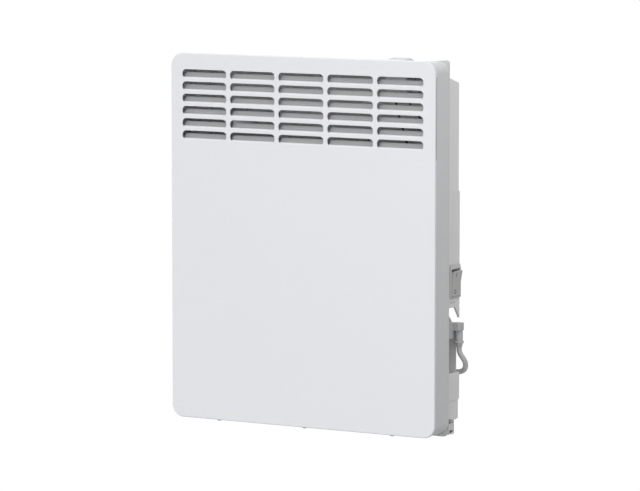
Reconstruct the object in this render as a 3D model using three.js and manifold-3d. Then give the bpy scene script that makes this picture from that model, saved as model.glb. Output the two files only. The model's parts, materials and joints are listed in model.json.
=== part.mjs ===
// A small wall panel convector: a louvred steel front on a shallow casing, a narrower rear housing that
// holds the switch and the mains lead, and a wall bracket with four hooks that it hangs on.
// Millimetres, +Z up. The origin is the middle of the bracket's top rail, on the face against the wall,
// and the front of the heater faces -Y. The heater's own pieces are drawn in the heater's frame:
// x across from its centre line, y back from its front face, z up from the front panel's lower edge.
import * as THREE from "three";
import { mergeVertices } from "three/addons/utils/BufferGeometryUtils.js";
import Module from "manifold-3d";

const wasm = await Module();
wasm.setup();

// ---- Driving dimensions ----------------------------------------------------------------------------

const GAP = 0.3; // between pieces that touch
const OVERLAP = 0.5; // how far two shapes of one piece run into each other before they are joined

const PANEL = { width: 370, height: 450, radius: 15.5, sheet: 1.2, rim: 4 };
const LOUVRE = { columns: 5, rows: 6, width: 63.3, gap: 5.2, top: 20, pitch: 15, height: 11, corner: 4 };
const FLAP = { sheet: 1, bend: 3, run: 8.3, side: 0.4, corner: 2.5 };
const CASING = { inset: 1.5, sheet: 1, radius: 14, back: 38, frontFlange: 10, backFlange: 8 };
const HOUSING = { half: 174.8, sheet: 1.2, back: 78, bottom: 14, topAtCasing: 432, topAtBack: 420, corner: 1.2 };
const PLATE = { half: 182.7, bottom: -2.4, top: 449.3, low: 7, high: 3.5, sheet: 1.2, front: CASING.back + GAP };
const SKIRT = { half: 183, back: 52.5, top: 17, endTop: 13, sheet: 1, slots: 11, slotLength: 22, slotPitch: 31 };
const SERVICE_COVER = { outer: 176.2, front: 41, back: 77.7, bottom: 38, top: 291.5 };
const NOTCH = { front: 50, bottom: 71.5, top: 151, slantFront: 66.5, slantLow: 136.5, openAbove: 112 };

const WALL_GAP = 20; // from the back of the housing to the wall
const WALL = HOUSING.back + WALL_GAP;
const RAIL = { half: 158, height: 40, sheet: 2, lip: 10, top: 375, lowerTop: 66 };
const HOOK = { x: 130, width: 24, reach: 28, rise: 10, sheet: 2 };
const HOOK_SLOT = { width: 27, height: 16 };
const UPRIGHT = { x: 60, width: 24, flange: 8, sheet: 2 };
const SCREW_SLOT = { x: 98, width: 6, length: 14 };
const HANG_HEIGHT = RAIL.top - RAIL.height / 2; // the origin's height above the panel's lower edge

const DIAL = { x: 125.5, y: 21, radius: 14.5, flutes: 20, top: 451, bottom: 446.5, bore: 3.3 };
const SHAFT_RADIUS = 3;
const SWITCH = { y: 64, z: 181, halfDepth: 12.2, halfWindow: 10.6, windowReach: 16.8 };
const ROCKER = { pivotX: 170.5, faceX: 179.8, half: 15.2, halfDepth: 10.2, tilt: 5 };

const ELEMENT = { x: -5, y: 40, z: 105, length: 250, core: 7, wing: 36, spread: 19, fin: 1.8 };
const SHIELD = { half: 160, front: 13, bottom: 24, top: 322, sheet: 0.8, stiffener: 12 };

const LEAD = { diameter: 6.3, exitX: 177.4, exitY: 74.8, exitZ: 101.6 };
const COIL = { x: 119, z: 110.5, outer: 40.6, pitch: 6.8, turns: 1.625, front: 84.9, steps: 24, sides: 6 };
const COIL_CLIMB = 0.5; // turns in which the coil climbs from one layer to the next

const SCREW_X = [-122, 0, 122]; // the screws along the bottom of the casing
const SCREW_Y = 9.5;

// ---- Finishes --------------------------------------------------------------------------------------

function finish(color, roughness, metalness = 0) {
  return new THREE.MeshStandardMaterial({ color, roughness, metalness });
}

const FRONT_ENAMEL = finish(0xe6e8ea, 0.45);
const CASING_ENAMEL = finish(0xdcdee0, 0.5);
const GALVANISED = finish(0xa9adb0, 0.45, 0.9);
const ALUMINIUM = finish(0xc4c7ca, 0.4, 1);
const STEEL = finish(0x8d9194, 0.35, 1);
const WHITE_PLASTIC = finish(0xe2e3e4, 0.5);
const GREY_PLASTIC = finish(0xb4b7ba, 0.55);
const DARK_PLASTIC = finish(0x4a4c4f, 0.6);
const CERAMIC = finish(0xe9e2d2, 0.6);
const LEAD_SHEATH = finish(0xb9bbbd, 0.6);
const WIRE_SHEATH = finish(0x8a5a3a, 0.6);
const EARTH_SHEATH = finish(0x7f9a3c, 0.6);

// ---- Solids ----------------------------------------------------------------------------------------

/** A closed geometry as a solid that can be joined and cut. */
function solid(geometry) {
  const bare = geometry.clone();
  bare.deleteAttribute("normal");
  bare.deleteAttribute("uv");
  const merged = mergeVertices(bare, 1e-4);
  return new wasm.Manifold(
    new wasm.Mesh({
      numProp: 3,
      vertProperties: merged.attributes.position.array,
      triVerts: new Uint32Array(merged.index.array),
    }),
  );
}

/** A solid as a mesh with a name and a finish. */
function piece(name, made, material) {
  const { vertProperties, triVerts } = made.getMesh();
  const geometry = new THREE.BufferGeometry();
  geometry.setAttribute("position", new THREE.BufferAttribute(vertProperties, 3));
  geometry.setIndex(new THREE.BufferAttribute(triVerts, 1));
  geometry.computeVertexNormals();
  const mesh = new THREE.Mesh(geometry, material);
  mesh.name = name;
  return mesh;
}

function joined(first, ...others) {
  return others.reduce((sum, other) => sum.add(other), first);
}

function cut(body, ...tools) {
  return tools.reduce((left, tool) => left.subtract(tool), body);
}

/** A box between two corners. */
function block([x0, y0, z0], [x1, y1, z1]) {
  const box = new THREE.BoxGeometry(x1 - x0, y1 - y0, z1 - z0);
  return solid(box.translate((x0 + x1) / 2, (y0 + y1) / 2, (z0 + z1) / 2));
}

function extruded(shape, length, curveSegments) {
  return new THREE.ExtrudeGeometry(shape, { depth: length, bevelEnabled: false, curveSegments });
}

/** A shape drawn in x and z, as seen from the front, from depth y0 back to y1. */
function facing(shape, y0, y1, curveSegments = 6) {
  return solid(extruded(shape, y1 - y0, curveSegments).rotateX(Math.PI / 2).translate(0, y1, 0));
}

/** A shape drawn in y and z, as seen from the right, from x0 across to x1. */
function across(shape, x0, x1, curveSegments = 6) {
  const turn = new THREE.Matrix4().makeBasis(
    new THREE.Vector3(0, 1, 0),
    new THREE.Vector3(0, 0, 1),
    new THREE.Vector3(1, 0, 0),
  );
  return solid(extruded(shape, x1 - x0, curveSegments).applyMatrix4(turn).translate(x0, 0, 0));
}

/** A shape drawn in x and y, as seen from above, from height z0 up to z1. */
function upward(shape, z0, z1, curveSegments = 6) {
  return solid(extruded(shape, z1 - z0, curveSegments).translate(0, 0, z0));
}

/** A profile of [radius, height] points, from the axis up the outside and back to it, turned about Z. */
function turned(profile, segments = 24) {
  const points = profile.map(([radius, height]) => new THREE.Vector2(radius, height));
  return solid(new THREE.LatheGeometry(points, segments).rotateX(Math.PI / 2));
}

/** An upright rod about the Z axis through x and y. */
function rod(radius, x, y, z0, z1, segments = 16) {
  const cylinder = new THREE.CylinderGeometry(radius, radius, z1 - z0, segments);
  return solid(cylinder.rotateX(Math.PI / 2).translate(x, y, (z0 + z1) / 2));
}

/** A round tube of regular section along a curve, with flat ends. */
function tube(curve, diameter, steps, sides) {
  const ring = Array.from({ length: sides }, (_, side) => {
    const angle = ((side + 0.5) / sides) * 2 * Math.PI;
    return new THREE.Vector2(Math.cos(angle), Math.sin(angle)).multiplyScalar(diameter / 2);
  });
  return solid(new THREE.ExtrudeGeometry(new THREE.Shape(ring), { extrudePath: curve, steps }));
}

function smooth(points) {
  return new THREE.CatmullRomCurve3(points.map(([x, y, z]) => new THREE.Vector3(x, y, z)));
}

function polygon(points) {
  return new THREE.Shape(points.map(([u, v]) => new THREE.Vector2(u, v)));
}

/** Draws a rectangle with round corners into a shape or a hole. low and high are the corner radii. */
function roundedRect(path, [u0, v0], [u1, v1], low, high = low) {
  const corners = [
    { u: u1 - low, v: v0 + low, radius: low, quarter: -1 },
    { u: u1 - high, v: v1 - high, radius: high, quarter: 0 },
    { u: u0 + high, v: v1 - high, radius: high, quarter: 1 },
    { u: u0 + low, v: v0 + low, radius: low, quarter: 2 },
  ];
  path.moveTo(u0 + low, v0);
  for (const { u, v, radius, quarter } of corners) {
    const from = (quarter * Math.PI) / 2;
    if (radius) path.absarc(u, v, radius, from, from + Math.PI / 2);
    else if (quarter < 2) path.lineTo(u, v);
  }
  return path;
}

/** The front's outline, drawn in by inset all round. */
function panelOutline(path, inset, radius) {
  const low = [-PANEL.width / 2 + inset, inset];
  const high = [PANEL.width / 2 - inset, PANEL.height - inset];
  return roundedRect(path, low, high, radius);
}

/** A frame that follows the front's outline, between two insets. */
function outlineRing(outerInset, outerRadius, innerInset, innerRadius) {
  const shape = panelOutline(new THREE.Shape(), outerInset, outerRadius);
  shape.holes.push(panelOutline(new THREE.Path(), innerInset, innerRadius));
  return shape;
}

// ---- Front and casing ------------------------------------------------------------------------------

/** The lower left corner of each louvre opening, as [x, z]. */
function louvreCorners() {
  const pitchX = LOUVRE.width + LOUVRE.gap;
  const left = -(LOUVRE.columns * pitchX - LOUVRE.gap) / 2;
  const highest = PANEL.height - LOUVRE.top - LOUVRE.height;
  const corners = [];
  for (let column = 0; column < LOUVRE.columns; column++) {
    for (let row = 0; row < LOUVRE.rows; row++) {
      corners.push([left + column * pitchX, highest - row * LOUVRE.pitch]);
    }
  }
  return corners;
}

/** One louvre flap: lanced from the sheet, bent in at 45 degrees about the opening's lower edge. */
function louvreFlap() {
  const slope = Math.SQRT1_2;
  const inner = FLAP.bend - FLAP.sheet;
  const profile = new THREE.Shape();
  profile.moveTo(FLAP.sheet, -OVERLAP);
  profile.lineTo(FLAP.sheet, 0);
  profile.absarc(FLAP.bend, 0, inner, Math.PI, Math.PI * 0.75, true);
  profile.lineTo(FLAP.bend + (FLAP.run - inner) * slope, (FLAP.run + inner) * slope);
  profile.lineTo(FLAP.bend + (FLAP.run - FLAP.bend) * slope, (FLAP.run + FLAP.bend) * slope);
  profile.absarc(FLAP.bend, 0, FLAP.bend, Math.PI * 0.75, Math.PI, false);
  profile.lineTo(0, -OVERLAP);
  const tongue = across(profile, FLAP.side, LOUVRE.width - FLAP.side, 3);
  const top = (FLAP.run + FLAP.bend) * slope;
  const face = roundedRect(
    new THREE.Shape(),
    [FLAP.side, -1],
    [LOUVRE.width - FLAP.side, top],
    0,
    FLAP.corner,
  );
  return tongue.intersect(facing(face, -1, LOUVRE.height, 3));
}

/** The louvred front: a flat sheet with a short folded rim, thirty lanced flaps and three screw tabs. */
function frontPanel() {
  const sheet = panelOutline(new THREE.Shape(), 0, PANEL.radius);
  const openingShape = roundedRect(
    new THREE.Shape(),
    [0, 0],
    [LOUVRE.width, LOUVRE.height],
    0,
    LOUVRE.corner,
  );
  const opening = facing(openingShape, -1, PANEL.sheet + 1, 4);
  const rim = outlineRing(0, PANEL.radius, PANEL.sheet, PANEL.radius - PANEL.sheet);
  let panel = facing(sheet, 0, PANEL.sheet, 4).add(facing(rim, PANEL.sheet - OVERLAP, PANEL.rim, 4));
  const flap = louvreFlap();
  for (const [x, z] of louvreCorners()) {
    panel = panel.subtract(opening.translate([x, 0, z])).add(flap.translate([x, 0, z]));
  }
  const tab = { half: 8, back: 13.5, low: CASING.inset + CASING.sheet + GAP, sheet: 1.2, hole: 1.4 };
  for (const x of SCREW_X) {
    const low = [x - tab.half, PANEL.sheet - OVERLAP, tab.low];
    const lug = block(low, [x + tab.half, tab.back, tab.low + tab.sheet]);
    panel = panel.add(cut(lug, rod(tab.hole, x, SCREW_Y, 0, tab.low + 2 * tab.sheet)));
  }
  return panel;
}

/** The casing: one strip bent round the heater, flanged in at its front and back edges. */
function casingWrap() {
  const front = PANEL.sheet + GAP;
  const inner = CASING.inset + CASING.sheet;
  const innerRadius = CASING.radius - CASING.sheet;
  const wall = facing(outlineRing(CASING.inset, CASING.radius, inner, innerRadius), front, CASING.back, 5);
  const frontRing = outlineRing(CASING.inset, CASING.radius, inner + CASING.frontFlange, 4);
  const backRing = outlineRing(CASING.inset, CASING.radius, inner + CASING.backFlange, 5);
  let wrap = wall.add(facing(frontRing, front, front + CASING.sheet, 5));
  wrap = wrap.add(facing(backRing, CASING.back - CASING.sheet, CASING.back, 5));
  const tabClearance = { half: 9, top: 6 };
  for (const x of SCREW_X) {
    const low = [x - tabClearance.half, front - 1, inner];
    wrap = wrap.subtract(block(low, [x + tabClearance.half, front + 2, tabClearance.top]));
    wrap = wrap.subtract(rod(2, x, SCREW_Y, 0, inner + 0.2));
  }
  const dialHole = rod(DIAL.radius + 1.3, DIAL.x, DIAL.y, PANEL.height - 5, PANEL.height, 28);
  return wrap.subtract(dialHole);
}

/** A pan-head screw that points up, with its head's underside at z. */
function panHeadScrew(head, shank, z) {
  const headHeight = head * 1.06;
  return turned([
    [0, z - headHeight],
    [head * 0.7, z - headHeight],
    [head, z - headHeight * 0.65],
    [head, z],
    [shank, z],
    [shank, z + 9],
    [0, z + 10],
  ], 12);
}

// ---- Rear housing ----------------------------------------------------------------------------------

/** The housing's slanted top at depth y, lowered by drop. */
function housingTop(y, drop = 0) {
  const slope = (HOUSING.topAtBack - HOUSING.topAtCasing) / (HOUSING.back - CASING.back);
  return HOUSING.topAtCasing + (y - CASING.back) * slope - drop;
}

/** The notch in the right-hand side of the housing that the mains lead leaves through, seen from there. */
function notchTool(x0, x1) {
  const slope = (NOTCH.top - NOTCH.slantLow) / (HOUSING.back - NOTCH.slantFront);
  const back = HOUSING.back + 4;
  return across(
    polygon([
      [NOTCH.front, NOTCH.bottom],
      [back, NOTCH.bottom],
      [back, NOTCH.slantLow - (back - HOUSING.back) * slope],
      [NOTCH.slantFront, NOTCH.top],
      [NOTCH.front, NOTCH.top],
    ]),
    x0,
    x1,
  );
}

/** The two pairs of slots that the bracket's hooks pass through, as the height of their upper edges. */
const HOOK_SLOT_TOPS = [RAIL.top + GAP, RAIL.lowerTop + GAP];

/** The plate that closes the casing's back, with a window into the rear housing. */
function backPlate() {
  const { half, bottom, top, low, high } = PLATE;
  const outline = roundedRect(new THREE.Shape(), [-half, bottom], [half, top], low, high);
  const windowX = HOUSING.half - HOUSING.sheet;
  const windowTop = housingTop(PLATE.front, HOUSING.sheet);
  outline.holes.push(roundedRect(new THREE.Path(), [-windowX, SKIRT.top], [windowX, windowTop], 2));
  let plate = facing(outline, PLATE.front, PLATE.front + PLATE.sheet, 4);
  for (const [x, z] of plateScrewPlaces()) {
    plate = plate.subtract(facing(circle(x, z, 1.9), PLATE.front - 1, PLATE.front + 2, 3));
  }
  return plate;
}

/** The rear housing: a deep pressing on the back plate, open below for the air. */
function rearHousing() {
  const { half, sheet, back, bottom, corner } = HOUSING;
  const front = PLATE.front + PLATE.sheet + GAP;
  const overSkirt = [SKIRT.back + GAP, SKIRT.top + GAP];
  const outerSide = polygon([
    [front, overSkirt[1]],
    overSkirt,
    [overSkirt[0], bottom],
    [back - 8, bottom],
    [back - 3, bottom + 0.7],
    [back, bottom + 2],
    [back, housingTop(back)],
    [front, housingTop(front)],
  ]);
  const outerPlan = new THREE.Shape();
  outerPlan.moveTo(-half, 0);
  outerPlan.lineTo(half, 0);
  outerPlan.lineTo(half, back - corner);
  outerPlan.absarc(half - corner, back - corner, corner, 0, Math.PI / 2);
  outerPlan.lineTo(-half + corner, back);
  outerPlan.absarc(-half + corner, back - corner, corner, Math.PI / 2, Math.PI);
  const outer = across(outerSide, -half, half).intersect(upward(outerPlan, 0, PANEL.height, 4));
  const inside = across(
    polygon([
      [0, bottom - 1],
      [back - sheet, bottom - 1],
      [back - sheet, housingTop(back - sheet, sheet)],
      [0, housingTop(0, sheet)],
    ]),
    -half + sheet,
    half - sheet,
  );
  let housing = outer.subtract(inside);
  for (const top of HOOK_SLOT_TOPS) {
    for (const side of [-1, 1]) {
      const x = side * HOOK.x;
      const low = [x - HOOK_SLOT.width / 2, back - 3, top - HOOK_SLOT.height];
      housing = housing.subtract(block(low, [x + HOOK_SLOT.width / 2, back + 1, top]));
    }
  }
  const openX = half - 24;
  const openBack = block([openX, back - 3, NOTCH.openAbove], [half + 1, back + 1, NOTCH.slantLow]);
  const switchHole = block(
    [half - 3, SWITCH.y - 11, SWITCH.z - 16.3],
    [half + 1, SWITCH.y + 11, SWITCH.z + 16.3],
  );
  return cut(housing, notchTool(half - 3, half + 1), openBack, switchHole);
}

function circle(x, z, radius) {
  return new THREE.Shape().absarc(x, z, radius, 0, 2 * Math.PI);
}

/** Where the screws join the back plate to the casing, as [x, z]. */
function plateScrewPlaces() {
  const x = PANEL.width / 2 - 5.7;
  return [-x, x].flatMap((side) => [70, 225, 385].map((z) => [side, z]));
}

/** One screw of the back plate, its head on the plate's back. */
function plateScrew(x, z) {
  const headFront = PLATE.front + PLATE.sheet + GAP;
  const head = facing(circle(x, z, 2.7), headFront, headFront + 1.8, 3);
  const shank = facing(circle(x, z, 1.4), CASING.back + 0.1, headFront + OVERLAP, 3);
  return head.add(shank);
}

/** The air skirt along the bottom: an upturned channel with inlet slots, whose ends are lower and slotted. */
function bottomSkirt() {
  const { half, back, top, endTop, sheet } = SKIRT;
  const front = PLATE.front + PLATE.sheet + GAP;
  const outer = block([-half, front, 0], [half, back, top]);
  const inner = block([-half + sheet, front - 1, sheet], [half - sheet, back - sheet, top + 1]);
  let skirt = outer.subtract(inner);
  for (let slot = 0; slot < SKIRT.slots; slot++) {
    const x = (slot - (SKIRT.slots - 1) / 2) * SKIRT.slotPitch;
    skirt = skirt.subtract(
      block([x - SKIRT.slotLength / 2, front + 4, -1], [x + SKIRT.slotLength / 2, back - 4, 5]),
    );
  }
  for (const side of [-1, 1]) {
    const wall = [side * (half - sheet - 1), side * (half + 1)].sort((a, b) => a - b);
    const above = block([wall[0], front - 1, endTop], [wall[1], back - sheet, top + 1]);
    const endSlot = block([wall[0], front + 1.2, sheet + 0.6], [wall[1], back - sheet, 4.8]);
    skirt = cut(skirt, above, endSlot);
  }
  return skirt;
}

/** The plastic cover on the right-hand side of the housing that carries the switch. */
function serviceCover() {
  const inner = HOUSING.half + GAP;
  const plate = roundedRect(
    new THREE.Shape(),
    [SERVICE_COVER.front, SERVICE_COVER.bottom],
    [SERVICE_COVER.back, SERVICE_COVER.top],
    3,
  );
  const window = block(
    [inner - 1, SWITCH.y - 11, SWITCH.z - 16.3],
    [SERVICE_COVER.outer + 1, SWITCH.y + 11, SWITCH.z + 16.3],
  );
  const catchSlot = { front: 54, back: 67, z: 155.5, height: 2.4 };
  const slot = block(
    [inner - 1, catchSlot.front, catchSlot.z],
    [SERVICE_COVER.outer + 1, catchSlot.back, catchSlot.z + catchSlot.height],
  );
  return cut(
    across(plate, inner, SERVICE_COVER.outer, 3),
    notchTool(inner - 1, SERVICE_COVER.outer + 1),
    window,
    slot,
  );
}

/** The heat shield: a thin sheet behind the front, below the louvres, with stiffened edges and four ears. */
function heatShield() {
  const { half, front, bottom, top, sheet, stiffener } = SHIELD;
  let shield = block([-half, front, bottom], [half, front + sheet, top]);
  for (const side of [-1, 1]) {
    const edge = [side * half, side * (half - sheet)].sort((a, b) => a - b);
    shield = shield.add(block([edge[0], front, bottom], [edge[1], front + stiffener, top]));
    const earEnd = PANEL.width / 2 - CASING.inset - CASING.sheet - GAP;
    const ear = [side * earEnd, side * (half - 1)].sort((a, b) => a - b);
    for (const z of [60, 270]) {
      shield = shield.add(block([ear[0], front, z], [ear[1], front + sheet, z + 24]));
    }
  }
  return shield;
}

// ---- Controls --------------------------------------------------------------------------------------

/** The thermostat below the casing's top: its case, with a threaded bush that the shaft turns in. */
function thermostatBody() {
  const half = 15;
  const plan = roundedRect(
    new THREE.Shape(),
    [DIAL.x - half, DIAL.y - 11],
    [DIAL.x + half, DIAL.y + 14],
    3,
  );
  const top = 441;
  const bush = rod(5, DIAL.x, DIAL.y, top - OVERLAP, top + 2.5);
  const bore = rod(SHAFT_RADIUS + GAP, DIAL.x, DIAL.y, top - 4, top + 4);
  const terminals = [-9, 0, 9].map((x) =>
    block([DIAL.x + x - 3, DIAL.y + 6, 402], [DIAL.x + x + 3, DIAL.y + 6.8, 412 + OVERLAP]),
  );
  return cut(joined(upward(plan, 412, top, 3), bush, ...terminals), bore);
}

/** The ring that lines the hole in the casing's top, with a thin flange that lies on the casing. */
function dialBezel() {
  const casingTop = PANEL.height - CASING.inset;
  const outer = rod(DIAL.radius + 2.1, 0, 0, casingTop + GAP, casingTop + 1.1, 28);
  const sleeve = rod(DIAL.radius + 1, 0, 0, 444.5, casingTop + 1, 28);
  const bore = rod(DIAL.radius + 0.4, 0, 0, 440, 455, 28);
  return cut(outer.add(sleeve), bore).translate([DIAL.x, DIAL.y, 0]);
}

/** The dial: a fluted disc with a raised pointer bar, hollow below round its boss. */
function thermostatDial() {
  const outline = new THREE.Shape();
  const perFlute = 3;
  for (let step = 0; step < DIAL.flutes * perFlute; step++) {
    const angle = (step / (DIAL.flutes * perFlute)) * 2 * Math.PI;
    const radius = DIAL.radius - 0.45 * (1 + Math.cos(angle * DIAL.flutes)) * 0.5;
    const point = [radius * Math.cos(angle), radius * Math.sin(angle)];
    if (step) outline.lineTo(...point);
    else outline.moveTo(...point);
  }
  const topChamfer = turned([
    [0, DIAL.bottom - 1],
    [DIAL.radius + 1, DIAL.bottom - 1],
    [DIAL.radius + 1, DIAL.top - 2.4],
    [DIAL.radius - 1.4, DIAL.top],
    [0, DIAL.top],
  ], 20);
  const disc = upward(outline, DIAL.bottom, DIAL.top).intersect(topChamfer);
  const hollow = rod(DIAL.radius - 2, 0, 0, DIAL.bottom - 1, DIAL.bottom + 2.4, 20);
  const boss = rod(DIAL.bore + 1.8, 0, 0, DIAL.bottom - 2, DIAL.bottom + 3);
  const bore = rod(DIAL.bore, 0, 0, DIAL.bottom - 4, DIAL.top - 1.5);
  return cut(disc.subtract(hollow).add(boss), bore).translate([DIAL.x, DIAL.y, 0]);
}

function dialShaft() {
  return rod(SHAFT_RADIUS, DIAL.x, DIAL.y, 437.5, DIAL.top - 1.5 - GAP);
}

/** The switch: a hooded bezel on the service cover, and the case behind it with the rocker's well. */
function switchHousing() {
  const { y, z, halfDepth, halfWindow, windowReach } = SWITCH;
  const seat = SERVICE_COVER.outer + GAP;
  const hood = new THREE.Shape();
  hood.moveTo(seat, z - 18.6);
  hood.lineTo(seat + 1.4, z - 18.6);
  hood.lineTo(seat + 2.2, z - 17.6);
  hood.lineTo(seat + 2.2, z + windowReach + 0.6);
  hood.lineTo(seat + 1.2, z + 22);
  hood.lineTo(seat, z + 22);
  const bezel = facing(hood, y - halfDepth, y + halfDepth);
  const body = block([150, y - 10.7, z - 16], [seat + 1, y + 10.7, z + 16]);
  const well = block([168, y - halfWindow + 0.9, z - 15.2], [seat + 5, y + halfWindow - 0.9, z + 15.2]);
  const mouth = block([seat - 1, y - halfWindow, z - windowReach], [seat + 5, y + halfWindow, z + windowReach]);
  const tabs = [-10, 0, 10].map((dz) => block([143, y - 3, z + dz - 0.4], [150.5, y + 3, z + dz + 0.4]));
  return cut(joined(bezel.add(body), ...tabs), well, mouth);
}

/** The rocker, drawn level about its pivot and then turned to its off position, upper end out. */
function powerRocker() {
  const { pivotX, faceX, half, tilt } = ROCKER;
  const rise = half * Math.tan(THREE.MathUtils.degToRad(tilt));
  const face = faceX - pivotX;
  const stem = { half: 4, depth: -0.6 };
  const profile = polygon([
    [face + rise, half],
    [face + rise - 1.4, half + 0.35],
    [face - 3.2, half - 1.2],
    [face - 3.2, half - 2.6],
    [2.2, half - 4],
    [stem.depth, stem.half],
    [stem.depth, -stem.half],
    [2.2, -half + 4],
    [face - 3.2, -half + 2.6],
    [face - 3.2, -half + 1.2],
    [face + rise - 1.4, -half - 0.35],
    [face + rise, -half],
    [face, 0],
  ]);
  const body = facing(profile, -SWITCH.halfWindow + 1.3, SWITCH.halfWindow - 1.3);
  return body.rotate([0, tilt, 0]).translate([pivotX, SWITCH.y, SWITCH.z]);
}

// ---- Heating ---------------------------------------------------------------------------------------

/** The heating element: an aluminium casting of X section with ribbed wings round a tubular core. */
function heatingElement() {
  const { x, y, z, length, core, wing, spread, fin } = ELEMENT;
  const start = x - length / 2;
  const sectionRing = new THREE.Shape().absarc(y, z, core, 0, 2 * Math.PI);
  let casting = across(sectionRing, start, start + length, 10);
  const ribs = 5;
  for (const turn of [spread, -spread, 180 - spread, 180 + spread]) {
    const blade = new THREE.Shape();
    blade.moveTo(-fin / 2, 0);
    for (let rib = 1; rib <= ribs; rib++) {
      const out = core + ((wing - core) * rib) / (ribs + 0.5);
      blade.lineTo(-fin / 2, out - 1);
      blade.lineTo(-fin / 2 - 1.1, out);
      blade.lineTo(-fin / 2, out + 1);
    }
    blade.lineTo(-fin / 2, wing);
    blade.lineTo(fin / 2, wing);
    for (let rib = ribs; rib >= 1; rib--) {
      const out = core + ((wing - core) * rib) / (ribs + 0.5);
      blade.lineTo(fin / 2, out + 1);
      blade.lineTo(fin / 2 + 1.1, out);
      blade.lineTo(fin / 2, out - 1);
    }
    blade.lineTo(fin / 2, 0);
    casting = casting.add(across(blade, 0, length).rotate([turn, 0, 0]).translate([start, y, z]));
  }
  return casting;
}

/** A ceramic insulator on the end of the element, where side is -1 on the left and 1 on the right. */
function ceramicInsulator(side) {
  const end = ELEMENT.x + (side * ELEMENT.length) / 2;
  const profile = turned([
    [0, GAP],
    [6.2, GAP],
    [6.2, 4],
    [4.6, 5],
    [4.6, 12],
    [0, 12],
  ], 16);
  return profile.rotate([0, side * 90, 0]).translate([end, ELEMENT.y, ELEMENT.z]);
}

function terminalPin(side) {
  const from = ELEMENT.x + side * (ELEMENT.length / 2 + 12 + GAP);
  const ends = [from, from + side * 6].sort((a, b) => a - b);
  const y = ELEMENT.y;
  const z = ELEMENT.z;
  return block([ends[0], y - 3.1, z - 0.5], [ends[1], y + 3.1, z + 0.5]);
}

/** The bracket that carries one end of the element from the housing's back wall. */
function elementBracket(side) {
  const x = ELEMENT.x + side * (ELEMENT.length / 2 + 2.6);
  const back = HOUSING.back - HOUSING.sheet - GAP;
  const halfSheet = 0.6;
  const web = block([x - halfSheet, 24, ELEMENT.z - 20], [x + halfSheet, back, ELEMENT.z + 20]);
  const footEnd = x + side * 9;
  const foot = [footEnd, x].sort((a, b) => a - b);
  const pad = block([foot[0], back - 1.2, ELEMENT.z - 20], [foot[1], back, ELEMENT.z + 20]);
  const ring = new THREE.Shape().absarc(ELEMENT.y, ELEMENT.z, 6.2 + GAP, 0, 2 * Math.PI);
  const window = roundedRect(new THREE.Shape(), [54, ELEMENT.z - 12], [70, ELEMENT.z + 12], 4);
  return cut(web.add(pad), across(ring, x - 2, x + 2, 8), across(window, x - 2, x + 2, 3));
}

/** The thermal cut-out: a bimetal disc in a round case with two blade terminals. */
function thermalCutout() {
  const { x, y, z } = { x: 70, y: 60.6, z: 168 };
  const can = facing(circle(x, z, 7.5), y, y + 5, 8);
  const base = facing(circle(x, z, 6.4), y - 6, y + OVERLAP, 8);
  const blades = [-4, 4].map((dx) => block([x + dx - 1.6, y - 5, z + 5], [x + dx + 1.6, y - 4.2, z + 13]));
  return joined(can.add(base), ...blades);
}

/** The strap that holds the cut-out above the element, off the housing's back wall. */
function cutoutStrap() {
  const back = HOUSING.back - HOUSING.sheet - GAP;
  const profile = polygon([
    [65.9, 158],
    [66.9, 158],
    [66.9, 177],
    [back, 177],
    [back, 190],
    [back - 1, 190],
    [back - 1, 178],
    [65.9, 178],
  ]);
  return across(profile, 62, 78);
}

/** The thermostat's capillary: its bulb low in the air inlet, and the fine tube up to the body. */
function sensorCapillary() {
  const bulb = rod(3, 158, 30, 30, 66, 10); // in the air that comes in behind the heat shield
  const fine = tube(
    smooth([
      [158, 30, 64],
      [158, 30, 80],
      [157.5, 29.5, 120],
      [157, 29.5, 240],
      [157, 29.5, 330],
      [155.5, 26.5, 385],
      [150.5, 21.5, 414],
      [145.5, 20, 420],
      [140.9, 20, 420],
    ]),
    1.8,
    22,
    5,
  );
  return bulb.add(fine);
}

/** The three-way terminal block beside the switch. */
function terminalBlock() {
  const { x0, x1, y0, y1, z0 } = { x0: 124, x1: 142, y0: 62, y1: 76.2, z0: 206 };
  const pole = 11;
  let strip = block([x0, y0 + 4, z0], [x1, y1, z0 + 3 * pole]);
  for (let way = 0; way < 3; way++) {
    const z = z0 + (way + 0.5) * pole;
    strip = strip.add(block([x0 + 1, y0, z - 4.2], [x1 - 1, y0 + 5, z + 4.2]));
    for (const x of [x0 + 5.5, x1 - 5.5]) {
      strip = strip.subtract(facing(circle(x, z, 2), y0 - 1, y0 + 3, 4));
    }
  }
  return strip;
}

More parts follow.
